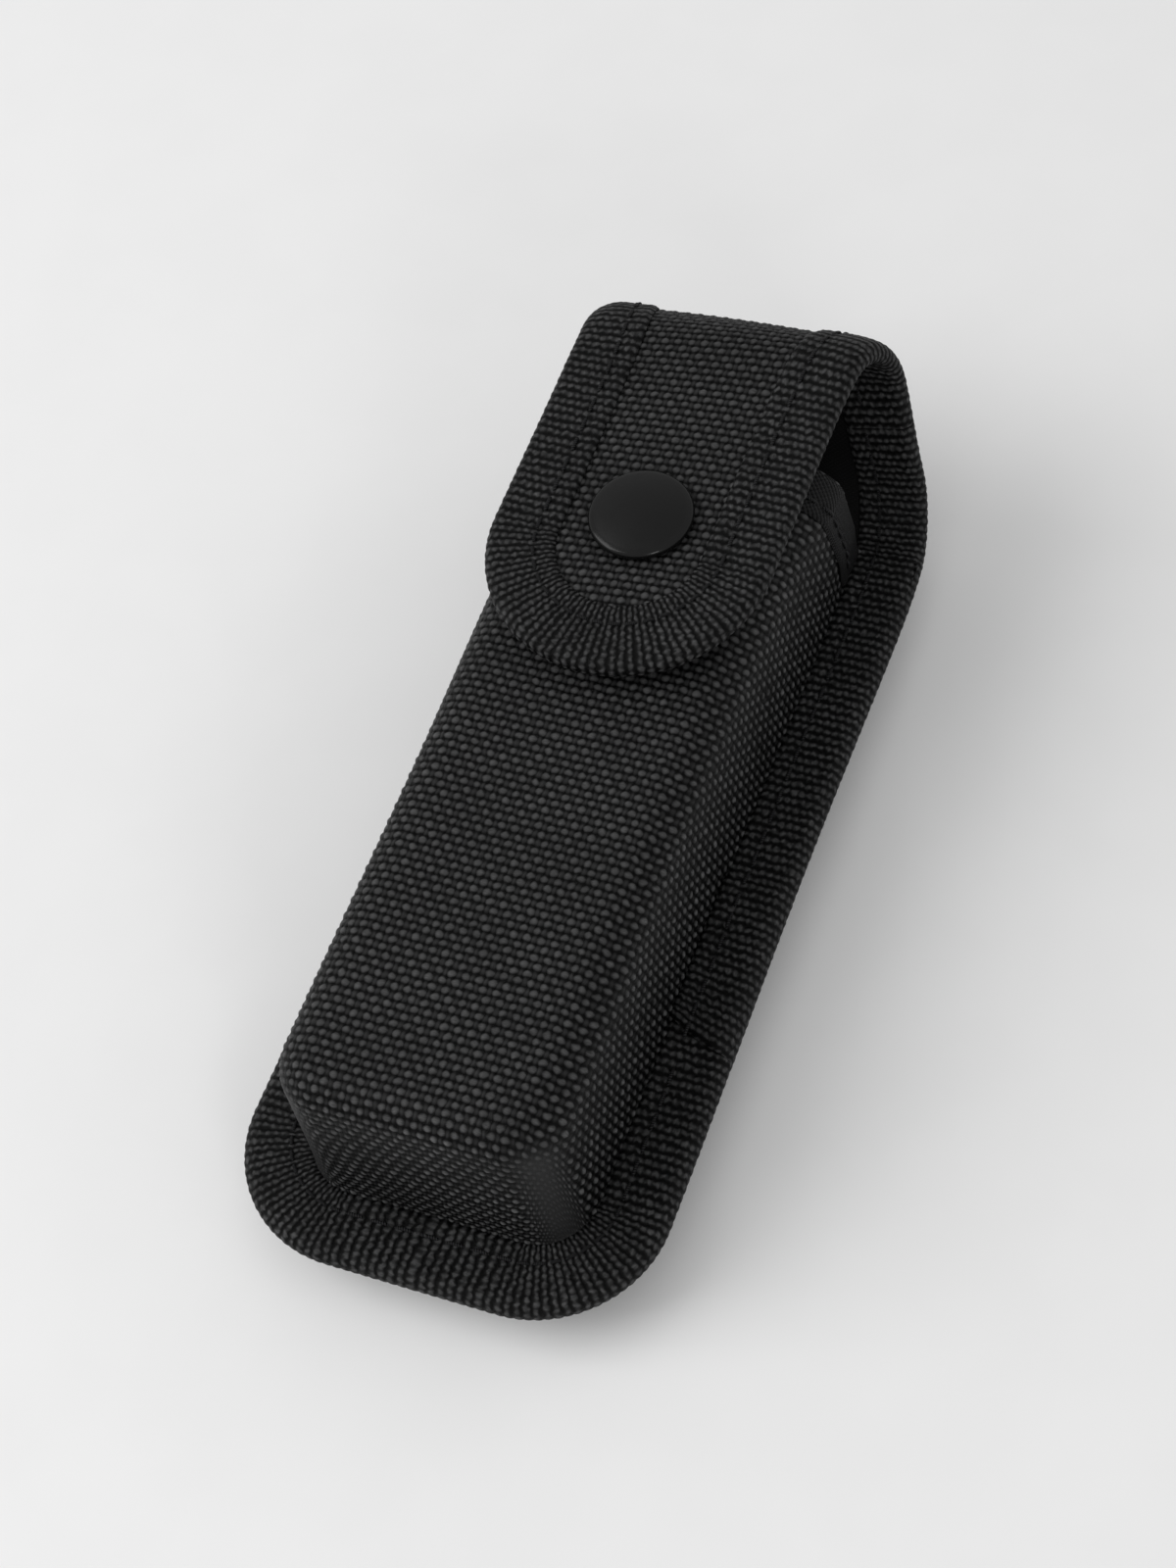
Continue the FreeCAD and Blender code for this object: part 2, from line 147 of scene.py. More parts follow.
def settle(points):
    """Where the real, sewn cloth departs a little from the drawn shape."""
    p = np.array(points, float)
    x, y, z = p[..., 0].copy(), p[..., 1].copy(), p[..., 2].copy()
    wall = smooth(np.abs(x), 11, 20) * smooth(z, 5, 14) * (1 - smooth(z, 25, 31.5))
    bulge = MOUTH_BULGE * np.exp(-((y - 123) / 9) ** 2) * wall * (1 - smooth(y, 130, 133))
    sag = -WALL_SAG * np.exp(-((y - 66) / 26) ** 2) * wall
    p[..., 0] += np.sign(x) * (bulge + sag)
    crown = smooth(y, 126, 142) * smooth(z, 10, 32)
    p[..., 1] += CROWN_TWIST * x / FLAP_HALF * crown
    p[..., 2] += CROWN_LEAN * x / FLAP_HALF * crown
    shoulder = smooth(np.abs(x), 16, 24) ** 2 * np.where(x < 0, 1.0, 0.35)
    p[..., 2] -= SHOULDER_DROP * shoulder * smooth(y, 128, 143) * smooth(z, 22, 36)
    p[..., 1] -= SHOULDER_PULL * shoulder * smooth(y, 132, 145) * smooth(z, 20, 34)
    front = smooth(z, 26, 31) * (1 - smooth(z, 33, 35))
    p[..., 2] += front * FRONT_DOME * np.cos(np.pi * x / 44) * smooth(y, 8, 30)
    margin = 1 - smooth(z, 6, 12)
    margin *= MARGIN_WAVE
    p[..., 2] += margin * np.sin(y / 15.0 + 0.7 + 0.04 * x) * smooth(np.abs(x), 14, 30)
    p[..., 0] += margin * np.sin(y / 19.0 + np.sign(x) * 1.1)
    tip = 1 - smooth(y, FLAP_TIP, 92)
    p[..., 2] -= TIP_DROP * tip * smooth(z, 33, 34.5)
    return p


def to_frame(points):
    return (settle(points) + ORIGIN) / 1000


def grid_normals(p):
    n = np.cross(np.gradient(p, axis=0), np.gradient(p, axis=1))
    length = np.linalg.norm(n, axis=-1, keepdims=True)
    return n / np.maximum(length, 1e-12)


# ---- weaves ----

def yarn_round(f):
    return np.cos(np.pi * np.clip(f, -0.5, 0.5))


def plain_weave(u, v):
    """Height of a plain weave whose crosswise yarns stand prouder, about -1 to 0.5."""
    row, col = np.round(v), np.round(u)
    across = WAVE * np.cos(np.pi * (u + row)) + yarn_round(v - row)
    along = -WAVE * np.cos(np.pi * (v + col)) + yarn_round(u - col) ** 0.45 - SUNK
    return np.maximum(across, along) - 1.0


def ribbed(u, v):
    """Height of a ribbed tape: u counts ribs along it and v counts yarns across it."""
    rib = np.round(u)
    grain = 0.5 + 0.5 * np.cos(np.pi * (v + rib))
    return yarn_round(u - rib) * (1 - GRAIN + GRAIN * grain) - 0.7


def twilled(u, v):
    return 0.5 * np.cos(2 * np.pi * (u + v)) + 0.2 * np.cos(2 * np.pi * (u - v))


def wander(u, v, amount):
    """Yarns that aren't perfectly straight or even."""
    du = np.sin(v * 0.21 + 1.7 * np.sin(u * 0.05)) + 0.6 * np.sin(v * 0.067 + u * 0.11)
    dv = np.sin(u * 0.19 + 1.3 * np.sin(v * 0.04)) + 0.6 * np.sin(u * 0.071 - v * 0.09)
    return u + amount * du, v + amount * dv


# ---- mesh making ----

def make_piece(name, points, faces, uv, material, flat=0):
    """A mesh object from points in the drawing frame; the last `flat` faces are flat shaded."""
    mesh = bpy.data.meshes.new(name)
    sizes = np.array([len(f) for f in faces])
    index = np.concatenate(faces)
    mesh.vertices.add(len(points))
    mesh.vertices.foreach_set("co", to_frame(points).astype(np.float32).ravel())
    mesh.loops.add(len(index))
    mesh.loops.foreach_set("vertex_index", index.astype(np.int32))
    mesh.polygons.add(len(sizes))
    starts = np.concatenate([[0], np.cumsum(sizes)[:-1]])
    mesh.polygons.foreach_set("loop_start", starts.astype(np.int32))
    shade = np.ones(len(sizes), bool)
    if flat:
        shade[-flat:] = False
    mesh.polygons.foreach_set("use_smooth", shade)
    mesh.update(calc_edges=True)
    layer = mesh.uv_layers.new(name="weave")
    layer.data.foreach_set("uv", uv[index].astype(np.float32).ravel())
    mesh.validate()
    mesh.materials.append(material)
    piece = bpy.data.objects.new(name, mesh)
    bpy.context.scene.collection.objects.link(piece)
    return piece


def grid_faces(rows, cols, start=0):
    i, j = np.meshgrid(np.arange(rows - 1), np.arange(cols - 1), indexing="ij")
    a = (i * cols + j).ravel() + start
    return np.stack([a, a + cols, a + cols + 1, a + 1], -1)


def thinned(count, every):
    """Every few numbers below count, and always the last one."""
    keep = list(range(0, count, every))
    if keep[-1] != count - 1:
        keep.append(count - 1)
    return keep


def make_sheet(name, face, back, uv, material, every=3):
    """A closed sheet: a fine face, and a back with every few points, joined round the rim."""
    rows, cols = face.shape[:2]
    ri, ci = thinned(rows, every), thinned(cols, every)
    coarse = back[np.ix_(ri, ci)]
    points = np.concatenate([face.reshape(-1, 3), coarse.reshape(-1, 3)])
    maps = np.concatenate([uv.reshape(-1, 2), uv[np.ix_(ri, ci)].reshape(-1, 2)])
    first = rows * cols
    faces = [*grid_faces(rows, cols)]
    faces += [*grid_faces(len(ri), len(ci), first)[:, ::-1]]
    fine = np.arange(first).reshape(rows, cols)
    low = first + np.arange(len(ri) * len(ci)).reshape(len(ri), len(ci))
    rims = [(fine[:, 0], low[:, 0], ri, 1), (fine[:, -1], low[:, -1], ri, -1),
            (fine[0], low[0], ci, -1), (fine[-1], low[-1], ci, 1)]
    flat = 0
    for top, under, keep, turn in rims:
        for k in range(len(keep) - 1):
            run = list(top[keep[k]:keep[k + 1] + 1])
            ring = run + [under[k + 1], under[k]]
            faces.append(np.array(ring[::turn]))
            flat += 1
    return make_piece(name, points, faces, maps, material, flat)


def add_attribute(piece, label, values):
    """One value per vertex, and 0 for the vertices after the ones given."""
    padded = np.zeros(len(piece.data.vertices), np.float32)
    padded[:values.size] = values.ravel()
    piece.data.attributes.new(label, "FLOAT", "POINT").data.foreach_set("value", padded)


def make_stitches(name, runs):
    """Every stitch of a seam in one piece. A run is (centres, upward) for one stitch."""
    points, faces, maps = [], [], []
    sides, first = STITCH_SIDES, 0
    turn = np.linspace(0, 2 * np.pi, sides, endpoint=False)
    c, s = np.cos(turn)[None, :, None], np.sin(turn)[None, :, None]
    for centres, upward in runs:
        count = len(centres)
        along = np.gradient(centres, axis=0)
        along /= np.linalg.norm(along, axis=1, keepdims=True)
        sideways = np.cross(along, upward)
        sideways /= np.linalg.norm(sideways, axis=1, keepdims=True)
        t = np.linspace(-1, 1, count)
        swell = np.sqrt(np.clip(1 - t ** 4, 0.06, 1))[:, None, None]
        rings = (centres[:, None] + sideways[:, None] * c * (THREAD_WIDTH * swell)
                 + upward[:, None] * s * (THREAD_HEIGHT * swell))
        points.append(rings.reshape(-1, 3))
        u = np.repeat(np.arange(count) * 0.5, sides)
        v = np.tile(np.arange(sides) / sides, count)
        maps.append(np.stack([u, v], -1))
        for i in range(count - 1):
            for j in range(sides):
                k = (j + 1) % sides
                a, b = first + i * sides, first + (i + 1) * sides
                faces.append(np.array([a + j, a + k, b + k, b + j]))
        faces.append(np.arange(first, first + sides)[::-1])
        faces.append(np.arange(first + (count - 1) * sides, first + count * sides))
        first += count * sides
    return make_piece(name, np.concatenate(points), faces, np.concatenate(maps), THREAD)


# ---- material helpers ----

class Shader:
    """Adds nodes to one material. Numbers given to a socket are set on it."""

    def __init__(self, name):
        self.material = bpy.data.materials.new(name)
        self.material.use_nodes = True
        self.tree = self.material.node_tree
        self.surface = self.tree.nodes["Principled BSDF"]

    def node(self, kind, **settings):
        made = self.tree.nodes.new(kind)
        for key, value in settings.items():
            setattr(made, key, value)
        return made

    def feed(self, socket, value):
        if isinstance(value, bpy.types.NodeSocket):
            self.tree.links.new(value, socket)
        else:
            socket.default_value = value

    def math(self, operation, *values):
        made = self.node("ShaderNodeMath", operation=operation)
        for socket, value in zip(made.inputs, values):
            self.feed(socket, value)
        return made.outputs[0]

    def weave_uv(self):
        split = self.node("ShaderNodeSeparateXYZ")
        self.feed(split.inputs[0], self.node("ShaderNodeUVMap", uv_map="weave").outputs[0])
        return split.outputs[0], split.outputs[1]

    def wave(self, value, half_turns=1):
        """Cosine of a value counted in half turns."""
        return self.math("COSINE", self.math("MULTIPLY", value, half_turns * math.pi))

    def attribute(self, name):
        return self.node("ShaderNodeAttribute", attribute_name=name).outputs["Fac"]

    def vector(self, x, y):
        made = self.node("ShaderNodeCombineXYZ")
        self.feed(made.inputs[0], x)
        self.feed(made.inputs[1], y)
        return made.outputs[0]

    def place(self):
        """The object's own place, on which a pattern never slides."""
        return self.node("ShaderNodeTexCoord").outputs["Object"]

    def noise(self, vector, scale, detail=2.0):
        made = self.node("ShaderNodeTexNoise")
        self.feed(made.inputs["Vector"], vector)
        made.inputs["Scale"].default_value = scale
        made.inputs["Detail"].default_value = detail
        made.inputs["Roughness"].default_value = 0.5
        return made.outputs["Fac"]

    def place_noise(self, scale, detail=2.0):
        return self.noise(self.place(), scale, detail)

    def remap(self, value, low, high, to_low, to_high, smoothed=True):
        made = self.node("ShaderNodeMapRange")
        made.interpolation_type = "SMOOTHSTEP" if smoothed else "LINEAR"
        for socket, v in zip(made.inputs, (value, low, high, to_low, to_high)):
            self.feed(socket, v)
        return made.outputs[0]

    def spread(self, noise, to_low, to_high):
        """Noise, from about its lowest to about its highest, between two values."""
        return self.remap(noise, 0.3, 0.7, to_low, to_high)

    def dulled(self, tone, noise, low):
        """A tone that falls to a share of itself where the noise is low."""
        return self.math("MULTIPLY", tone, self.spread(noise, low, 1.0))

    def strayed(self, value, noise, reach):
        return self.math("ADD", value, self.remap(noise, 0.25, 0.75, -reach, reach, False))

    def blend_colours(self, share, first, second):
        made = self.node("ShaderNodeMix", data_type="RGBA")
        self.feed(made.inputs["Factor"], share)
        made.inputs[6].default_value = (*first, 1)
        made.inputs[7].default_value = (*second, 1)
        return made.outputs[2]

    def bump(self, height, depth, below=None):
        """A bump whose depth is in millimetres."""
        made = self.node("ShaderNodeBump")
        self.feed(made.inputs["Height"], height)
        made.inputs["Distance"].default_value = depth / 1000
        made.inputs["Strength"].default_value = 1.0
        if below is not None:
            self.feed(made.inputs["Normal"], below)
        return made.outputs[0]

    def finish(self, colour, roughness, normal=None, specular=0.5, metallic=0.0):
        s = self.surface.inputs
        self.feed(s["Base Color"], colour)
        self.feed(s["Roughness"], roughness)
        s["Specular IOR Level"].default_value = specular
        s["Metallic"].default_value = metallic
        if normal is not None:
            self.feed(s["Normal"], normal)
        return self.material


def yarn_shape(sh, position):
    """cos of pi times the distance from the nearest yarn's middle, and that yarn's number."""
    number = sh.math("ROUND", position)
    return sh.wave(sh.math("SUBTRACT", position, number)), number


def grey(level, blue=None):
    return (level, level, level if blue is None else blue)


def woven_material(name, dark, light, roughness, specular, depth, fibre=0.03):
    """Plain weave of round multifilament yarns; its colour holds painted shade and highlight."""
    sh = Shader(name)
    u, v = sh.weave_uv()
    stray = sh.noise(sh.vector(u, v), 0.8, 1.0)
    slip = sh.noise(sh.vector(v, u), 0.7, 1.0)
    u, v = sh.strayed(u, stray, 0.16), sh.strayed(v, slip, 0.11)
    row_round, row = yarn_shape(sh, v)
    col_round, col = yarn_shape(sh, u)
    wave_u, wave_v = sh.wave(sh.math("ADD", u, row)), sh.wave(sh.math("ADD", v, col))
    col_round = sh.math("POWER", sh.math("MAXIMUM", col_round, 0.0), 0.45)
    across = sh.math("MULTIPLY_ADD", wave_u, WAVE, row_round)
    along = sh.math("SUBTRACT", sh.math("MULTIPLY_ADD", wave_v, -WAVE, col_round), SUNK)
    height = sh.math("MAXIMUM", across, along)
    is_across = sh.math("GREATER_THAN", across, along)
    threads_u = sh.noise(sh.vector(sh.math("MULTIPLY", u, 0.8), sh.math("MULTIPLY", v, 9.0)), 1.6)
    threads_v = sh.noise(sh.vector(sh.math("MULTIPLY", u, 9.0), sh.math("MULTIPLY", v, 0.8)), 1.6)
    threads = sh.math("ADD", sh.math("MULTIPLY", threads_u, is_across),
                      sh.math("MULTIPLY", threads_v, sh.math("SUBTRACT", 1.0, is_across)))
    # Painted light: the colour follows the weave's height, painted shade in the hollows between
    # yarns and a painted highlight on the yarn crowns.
    tone = sh.remap(height, 0.4, 1.5, 0.0, 1.0)
    # Painted sheen: the lengthwise floats are painted dimmer than the crosswise ones.
    tone = sh.math("MULTIPLY", tone, sh.math("MULTIPLY_ADD", is_across, 0.3, 0.7))
    for noise, low in ((threads, 0.66), (sh.place_noise(90.0), 0.82), (stray, 0.78)):
        tone = sh.dulled(tone, noise, low)
    pressed, painted_wall_light = sh.attribute("pressed"), sh.attribute("painted_wall_light")
    woven = sh.math("MULTIPLY_ADD", pressed, -0.85, 1.0)
    # Painted light, by how the light falls: the front face is painted darker, and the walls get a
    # harsher painted contrast between yarn crowns and hollows.
    tone = sh.math("POWER", tone, sh.math("MULTIPLY_ADD", painted_wall_light, 0.7, 1.0))
    tone = sh.math("MULTIPLY", tone, sh.math("MULTIPLY_ADD", painted_wall_light, 0.38, 0.62))
    # Where the cloth is pressed flat, the painted hollow shade gives way to an even tone.
    tone = sh.math("MULTIPLY_ADD", tone, woven, sh.math("MULTIPLY", pressed, 0.16))
    colour = sh.blend_colours(tone, dark, light)
    rough = sh.spread(threads, roughness + 0.08, roughness - 0.06)
    normal = sh.bump(threads, fibre, sh.bump(sh.math("MULTIPLY", height, woven), depth))
    return sh.finish(colour, rough, normal, specular)


def ribbed_material(name, dark, light, roughness, specular, depth):
    """Woven tape with ribs across it and a grain of cells along each rib."""
    sh = Shader(name)
    u, v = sh.weave_uv()
    stray = sh.noise(sh.vector(u, sh.math("MULTIPLY", v, 0.6)), 0.9, 1.0)
    slip = sh.noise(sh.vector(v, u), 0.8, 1.0)
    u, v = sh.strayed(u, stray, 0.2), sh.strayed(v, slip, 0.35)
    rib_round, rib = yarn_shape(sh, u)
    grain = sh.math("MULTIPLY_ADD", sh.wave(sh.math("ADD", v, rib)), GRAIN / 2, 1 - GRAIN / 2)
    height = sh.math("MULTIPLY", rib_round, grain)
    threads = sh.noise(sh.vector(sh.math("MULTIPLY", u, 1.2), sh.math("MULTIPLY", v, 9.0)), 1.5)
    # Painted light: the colour follows the rib height, painted shade between the ribs and cells
    # and a painted highlight on the rib crowns.
    tone = sh.math("POWER", sh.remap(height, 0.2, 1.0, 0.0, 1.0), 1.5)
    patches, fibres = sh.place_noise(140.0), sh.place_noise(1500.0)
    for noise, low in ((threads, 0.45), (patches, 0.8), (fibres, 0.55)):
        tone = sh.dulled(tone, noise, low)
    colour = sh.blend_colours(tone, dark, light)
    rough = sh.spread(threads, roughness + 0.08, roughness - 0.05)
    return sh.finish(colour, rough, sh.bump(threads, 0.05, sh.bump(height, depth)), specular)


def twill_material(name, dark, light, roughness, specular, depth):
    """Fine tape with slanting lines, crossed by fainter ones."""
    sh = Shader(name)
    u, v = sh.weave_uv()
    one, two = sh.wave(sh.math("ADD", u, v), 2), sh.wave(sh.math("SUBTRACT", u, v), 2)
    height = sh.math("MULTIPLY_ADD", two, 0.4, one)
    threads = sh.noise(sh.vector(u, v), 5.0)
    # Painted shade: the colour is darker down the twill's grooves and lighter on its raised lines.
    tone = sh.dulled(sh.remap(height, -1.0, 1.0, 0.2, 1.0), threads, 0.75)
    colour = sh.blend_colours(tone, dark, light)
    rough = sh.spread(threads, roughness + 0.06, roughness - 0.05)
    return sh.finish(colour, rough, sh.bump(height, depth), specular)


def foam_material(name):
    sh = Shader(name)
    cells = sh.node("ShaderNodeTexVoronoi")
    sh.feed(cells.inputs["Vector"], sh.place())
    sh.feed(cells.inputs["Scale"], 2600.0)
    tone = sh.remap(cells.outputs["Distance"], 0.1, 0.7, 1.0, 0.2)
    colour = sh.blend_colours(tone, grey(0.006), grey(0.03, 0.032))
    return sh.finish(colour, 0.9, sh.bump(cells.outputs["Distance"], 0.1), 0.2)


def painted_material(name):
    """Satin black enamel on pressed steel."""
    sh = Shader(name)
    drift = sh.place_noise(500.0, 4.0)
    wear_and_highlight = sh.attribute("wear_and_highlight")
    # Wear and painted highlight: the rolled rim is smoother, as worn paint is, and its colour is
    # painted lighter to brighten its highlight.
    rough = sh.math("MULTIPLY_ADD", wear_and_highlight, -0.24, sh.spread(drift, 0.38, 0.46))
    colour = sh.blend_colours(wear_and_highlight, grey(0.0018), grey(0.004))
    normal = sh.bump(sh.place_noise(2400.0, 3.0), 0.012)
    return sh.finish(colour, rough, normal, 0.22)


def metal_material(name):
    """Black oxide on pressed brass."""
    sh = Shader(name)
    drift = sh.place_noise(900.0, 4.0)
    rough = sh.spread(drift, 0.24, 0.36)
    colour = sh.blend_colours(drift, grey(0.026, 0.027), grey(0.045, 0.046))
    normal = sh.bump(sh.place_noise(3000.0, 3.0), 0.006)
    return sh.finish(colour, rough, normal, 0.5, metallic=1.0)


def thread_material(name):
    """Twisted black thread."""
    sh = Shader(name)
    u, v = sh.weave_uv()
    ply = sh.math("SINE", sh.math("MULTIPLY", sh.math("ADD", u, v), 4 * math.pi))
    # Painted light: the twist's own shading, darker between the plies and lighter on their crests.
    tone = sh.remap(ply, -1.0, 1.0, 0.0, 1.0)
    colour = sh.blend_colours(tone, grey(0.003), grey(0.02, 0.021))
    return sh.finish(colour, 0.55, sh.bump(ply, 0.05), 0.1)


# Each fabric's dark and light colours are painted shade in its hollows and painted highlight on
# its crowns; its specular is set low so the colour carries the sheen.
BALLISTIC = woven_material("ballistic_nylon", grey(0.0008), grey(0.122, 0.123),
                           roughness=0.5, specular=0.07, depth=0.15)
LINING = woven_material("lining_cloth", grey(0.002), grey(0.014, 0.0145),
                        roughness=0.65, specular=0.1, depth=0.03, fibre=0.01)
EDGE_TAPE = ribbed_material("edge_tape", grey(0.0008), grey(0.086, 0.087),
                            roughness=0.5, specular=0.08, depth=0.12)
WEBBING = ribbed_material("webbing", grey(0.003), grey(0.015, 0.0155),
                          roughness=0.5, specular=0.35, depth=0.12)
MOUTH = twill_material("mouth_tape", grey(0.0008), grey(0.015, 0.0155),
                       roughness=0.55, specular=0.1, depth=0.14)
FOAM = foam_material("foam")
PAINT = painted_material("snap_paint")
METAL = metal_material("snap_metal")
THREAD = thread_material("thread")


# ---- shell ----

# distances over the face, out from a closed corner's centre
EDGE_START = PLAN_CORNER - SIDE_ROUND
WALL_START = EDGE_START + SIDE_ROUND * math.pi / 2
FOOT_START = WALL_START + SHELL_TOP - SIDE_ROUND - FLANGE_TOP - FOOT_ROUND
FLANGE_START = FOOT_START + FOOT_ROUND * math.pi / 2
FLANGE_END = FLANGE_START + FLANGE_REACH
AT_MOUTH = -(FOLD_START - CORNER_Y)
COARSE_STEP, UNDER_STEP = 0.9, 1.2      # grid steps of the lining, and of cloth under the tape


def mouth_edge(z):
    return FOLD_START - MOUTH_SLOPE * (z - AT_INSIDE)


def wall_profile(m, round_off, inset, foot):
    """Distance out from the corner's centre and height, at distance m over the shell's face."""
    radius = round_off - inset
    at_wall = PLAN_CORNER - inset
    bend = np.clip((m - EDGE_START) / (WALL_START - EDGE_START), 0, 1) * math.pi / 2
    wall = np.clip((m - WALL_START) / (FOOT_START - WALL_START), 0, 1)
    turn = np.clip((m - FOOT_START) / (FLANGE_START - FOOT_START), 0, 1) * math.pi / 2
    flat_share = np.clip(m / EDGE_START, 0, 1)
    out = ((at_wall - radius) * flat_share + radius * np.sin(bend)
           + FOOT_ROUND * (1 - np.cos(turn)) + np.maximum(m - FLANGE_START, 0))
    wall_height = SHELL_TOP - inset - radius - foot - FOOT_ROUND
    z = (SHELL_TOP - inset - radius * (1 - np.cos(bend)) - wall_height * wall
         - FOOT_ROUND * np.sin(turn))
    return out, z


def shell_grid(across, down, inset, foot):
    """Points of the shell at an inset from its face; down is counted from the corners' centres."""
    a, b = np.meshgrid(across, down, indexing="ij")
    side = np.abs(a) - CORNER_X
    m = np.maximum(np.maximum(side, b), 0)
    ratio = np.minimum(side, b) / np.maximum(m, 1e-9)
    phi = np.where(side >= b, ratio, 2 - ratio) * math.pi / 4
    phi = np.where(b <= 0, 0, np.where(side <= 0, math.pi / 2, phi))
    corner = (side > 0) & (b > 0)
    round_off = SIDE_ROUND + (END_ROUND - SIDE_ROUND) * smooth(phi, 0.3, 1.3)
    out, z = wall_profile(m, round_off, inset, foot)
    x = np.where(side > 0, np.sign(a) * (CORNER_X + out * np.cos(phi)), a)
    y = np.where(b > 0, CORNER_Y - out * np.sin(phi), CORNER_Y - b)
    start = FOLD_START - MOUTH_SHEAR
    y = np.where(y > start, start + (y - start) * (mouth_edge(z) - start) / MOUTH_SHEAR, y)
    turn = phi / (math.pi / 2)
    flattened = smooth(turn, 0.12, 0.5) * (1 - smooth(turn, 0.54, 0.9))
    flattened *= smooth(m, 6, 13) * corner
    length = cloth_length(m, round_off)
    kept = np.clip(out / np.maximum(length, 1e-9), 0, 1)
    laid = (turn * kept + (1 - kept) * smooth(turn, 0.2, 0.8)) * math.pi / 2
    side = np.where(side > 0, length * np.cos(laid), side)
    end = np.where(b > 0, length * np.sin(laid), b)
    return np.stack([x, y, z], -1), a, side, end, m, flattened


def cloth_length(m, round_off):
    """Length of cloth from a corner's centre out over the front edge and down the wall."""
    bend = np.clip((m - EDGE_START) / (WALL_START - EDGE_START), 0, 1)
    return (np.clip(m / EDGE_START, 0, 1) * (PLAN_CORNER - round_off)
            + bend * round_off * math.pi / 2 + np.maximum(m - WALL_START, 0))


def numbered(length, spacing):
    """Yarn numbers at lengths over cloth whose yarn spacing changes."""
    middle = (spacing[1:] + spacing[:-1]) / 2
    return np.concatenate([[0], np.cumsum(np.diff(length) / middle)])


def shell_counts():
    """Tables of column number against distance across, and row number against distance down."""
    across = np.linspace(0, CORNER_X + FLANGE_START + FLANGE_REACH, 900)
    spacing = COLUMN + (WALL_COLUMN - COLUMN) * smooth(
        across, CORNER_X + 1.5, CORNER_X + WALL_START + 1)
    columns = numbered(across, spacing)
    down = np.linspace(0, FLANGE_END, 900)
    length = cloth_length(down, END_ROUND)
    spacing = (ROW + (CREASE_ROW - ROW) * smooth(down, EDGE_START, WALL_START)
               + (END_ROW - CREASE_ROW) * smooth(down, WALL_START, WALL_START + 10)
               + (FOOT_ROW - END_ROW) * smooth(down, WALL_START + 9, FOOT_START))
    return across, columns, down, length, numbered(length, spacing)


def mirrored(half):
    return np.concatenate([-half[:0:-1], half])


def flat_map(across, down, spacing):
    return np.stack(np.meshgrid(across, down, indexing="ij"), -1) / spacing


def yarn_grid(samples):
    """Grid lines of the shell at equal shares of a yarn, and coarse ones under the tape."""
    across, columns, down, _, rows = shell_counts()
    shown = np.interp(CORNER_X + FLANGE_START, across, columns)
    half = np.interp(np.arange(0, shown, 1 / samples), columns, across)
    half = np.append(half, np.arange(half[-1] + UNDER_STEP, across[-1], UNDER_STEP))
    front = np.arange(AT_MOUTH, 0, ROW / samples)
    shown = np.interp(FLANGE_START, down, rows)
    lines = np.arange(front[-1] / ROW + 1 / samples, shown, 1 / samples)
    end = np.interp(lines, rows, down)
    end = np.append(end, np.arange(end[-1] + UNDER_STEP, down[-1], UNDER_STEP))
    return mirrored(half), np.concatenate([front, end])


def shell_weave(a, side, end, points):
    """Yarn numbers over the shell, from the distances past the corners' centres."""
    across, columns, _, length, rows = shell_counts()
    u = np.sign(a) * np.interp(np.where(side > 0, CORNER_X + side, np.abs(a)), across, columns)
    v = np.where(end > 0, np.interp(end, length, rows), (CORNER_Y - points[..., 1]) / ROW)
    gather = (FOOT_COLUMN / COLUMN - 1) * smooth(end, WALL_START + 5, FOOT_START)
    sunk = np.maximum(side - WALL_START * 0.5, 0)
    return u / (1 + gather), v + ROW_DRIFT * sunk / ROW


def make_shell():
    across, down = yarn_grid(5)
    base, a, side, end, m, flattened = shell_grid(across, down, 0, FLANGE_TOP)
    back = shell_grid(across, down, 0.6, LINING_TOP)[0]
    u, v = wander(*shell_weave(a, side, end, base), 0.07)
    shown = 1 - smooth(m, FLANGE_START - 0.6, FLANGE_START + 0.6)
    relief = CLOTH_RELIEF * plain_weave(u, v) * shown * (1 - 0.85 * flattened)
    n = grid_normals(base)
    n *= np.sign(n[len(across) // 2, 5, 2])
    face = base + n * relief[..., None]
    cloth = make_sheet("shell_cloth", face, back, np.stack([u, v], -1), BALLISTIC)
    add_attribute(cloth, "pressed", flattened)
    # Painted light: 0 on the front face, 1 on the walls, which the material paints as lit
    # differently.
    add_attribute(cloth, "painted_wall_light", smooth(m, EDGE_START, WALL_START))
    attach(cloth, "pouch")
    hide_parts("shell_outer")

    seen = np.arange(0, CORNER_X + FLANGE_START, COARSE_STEP)
    hidden = np.arange(seen[-1] + UNDER_STEP, CORNER_X + FLANGE_END, UNDER_STEP)
    coarse = mirrored(np.append(seen, hidden))
    rows = np.arange(AT_MOUTH, FLANGE_END, COARSE_STEP)
    outer = shell_grid(coarse, rows, WALL_LAYERS - 0.4, LINING_TOP)[0]
    inner = shell_grid(coarse, rows, WALL_LAYERS, AT_INSIDE)[0]
    inside = make_sheet("shell_lining_cloth", inner, outer, flat_map(coarse, rows, FINE_YARN),
                        LINING, 1)
    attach(inside, "pouch")
    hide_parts("shell_lining")

    step = 1.1
    padding = mirrored(np.arange(0, CORNER_X + FOOT_START, step))
    rows = np.arange(AT_MOUTH, FOOT_START, step)
    outer = shell_grid(padding, rows, 0.75, LINING_TOP)[0]
    inner = shell_grid(padding, rows, WALL_LAYERS - 0.5, LINING_TOP)[0]
    core = make_sheet("shell_foam_core", outer, inner, flat_map(padding, rows, 1.0), FOAM, 1)
    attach(core, "pouch")
    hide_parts("shell_foam")


# ---- strip ----

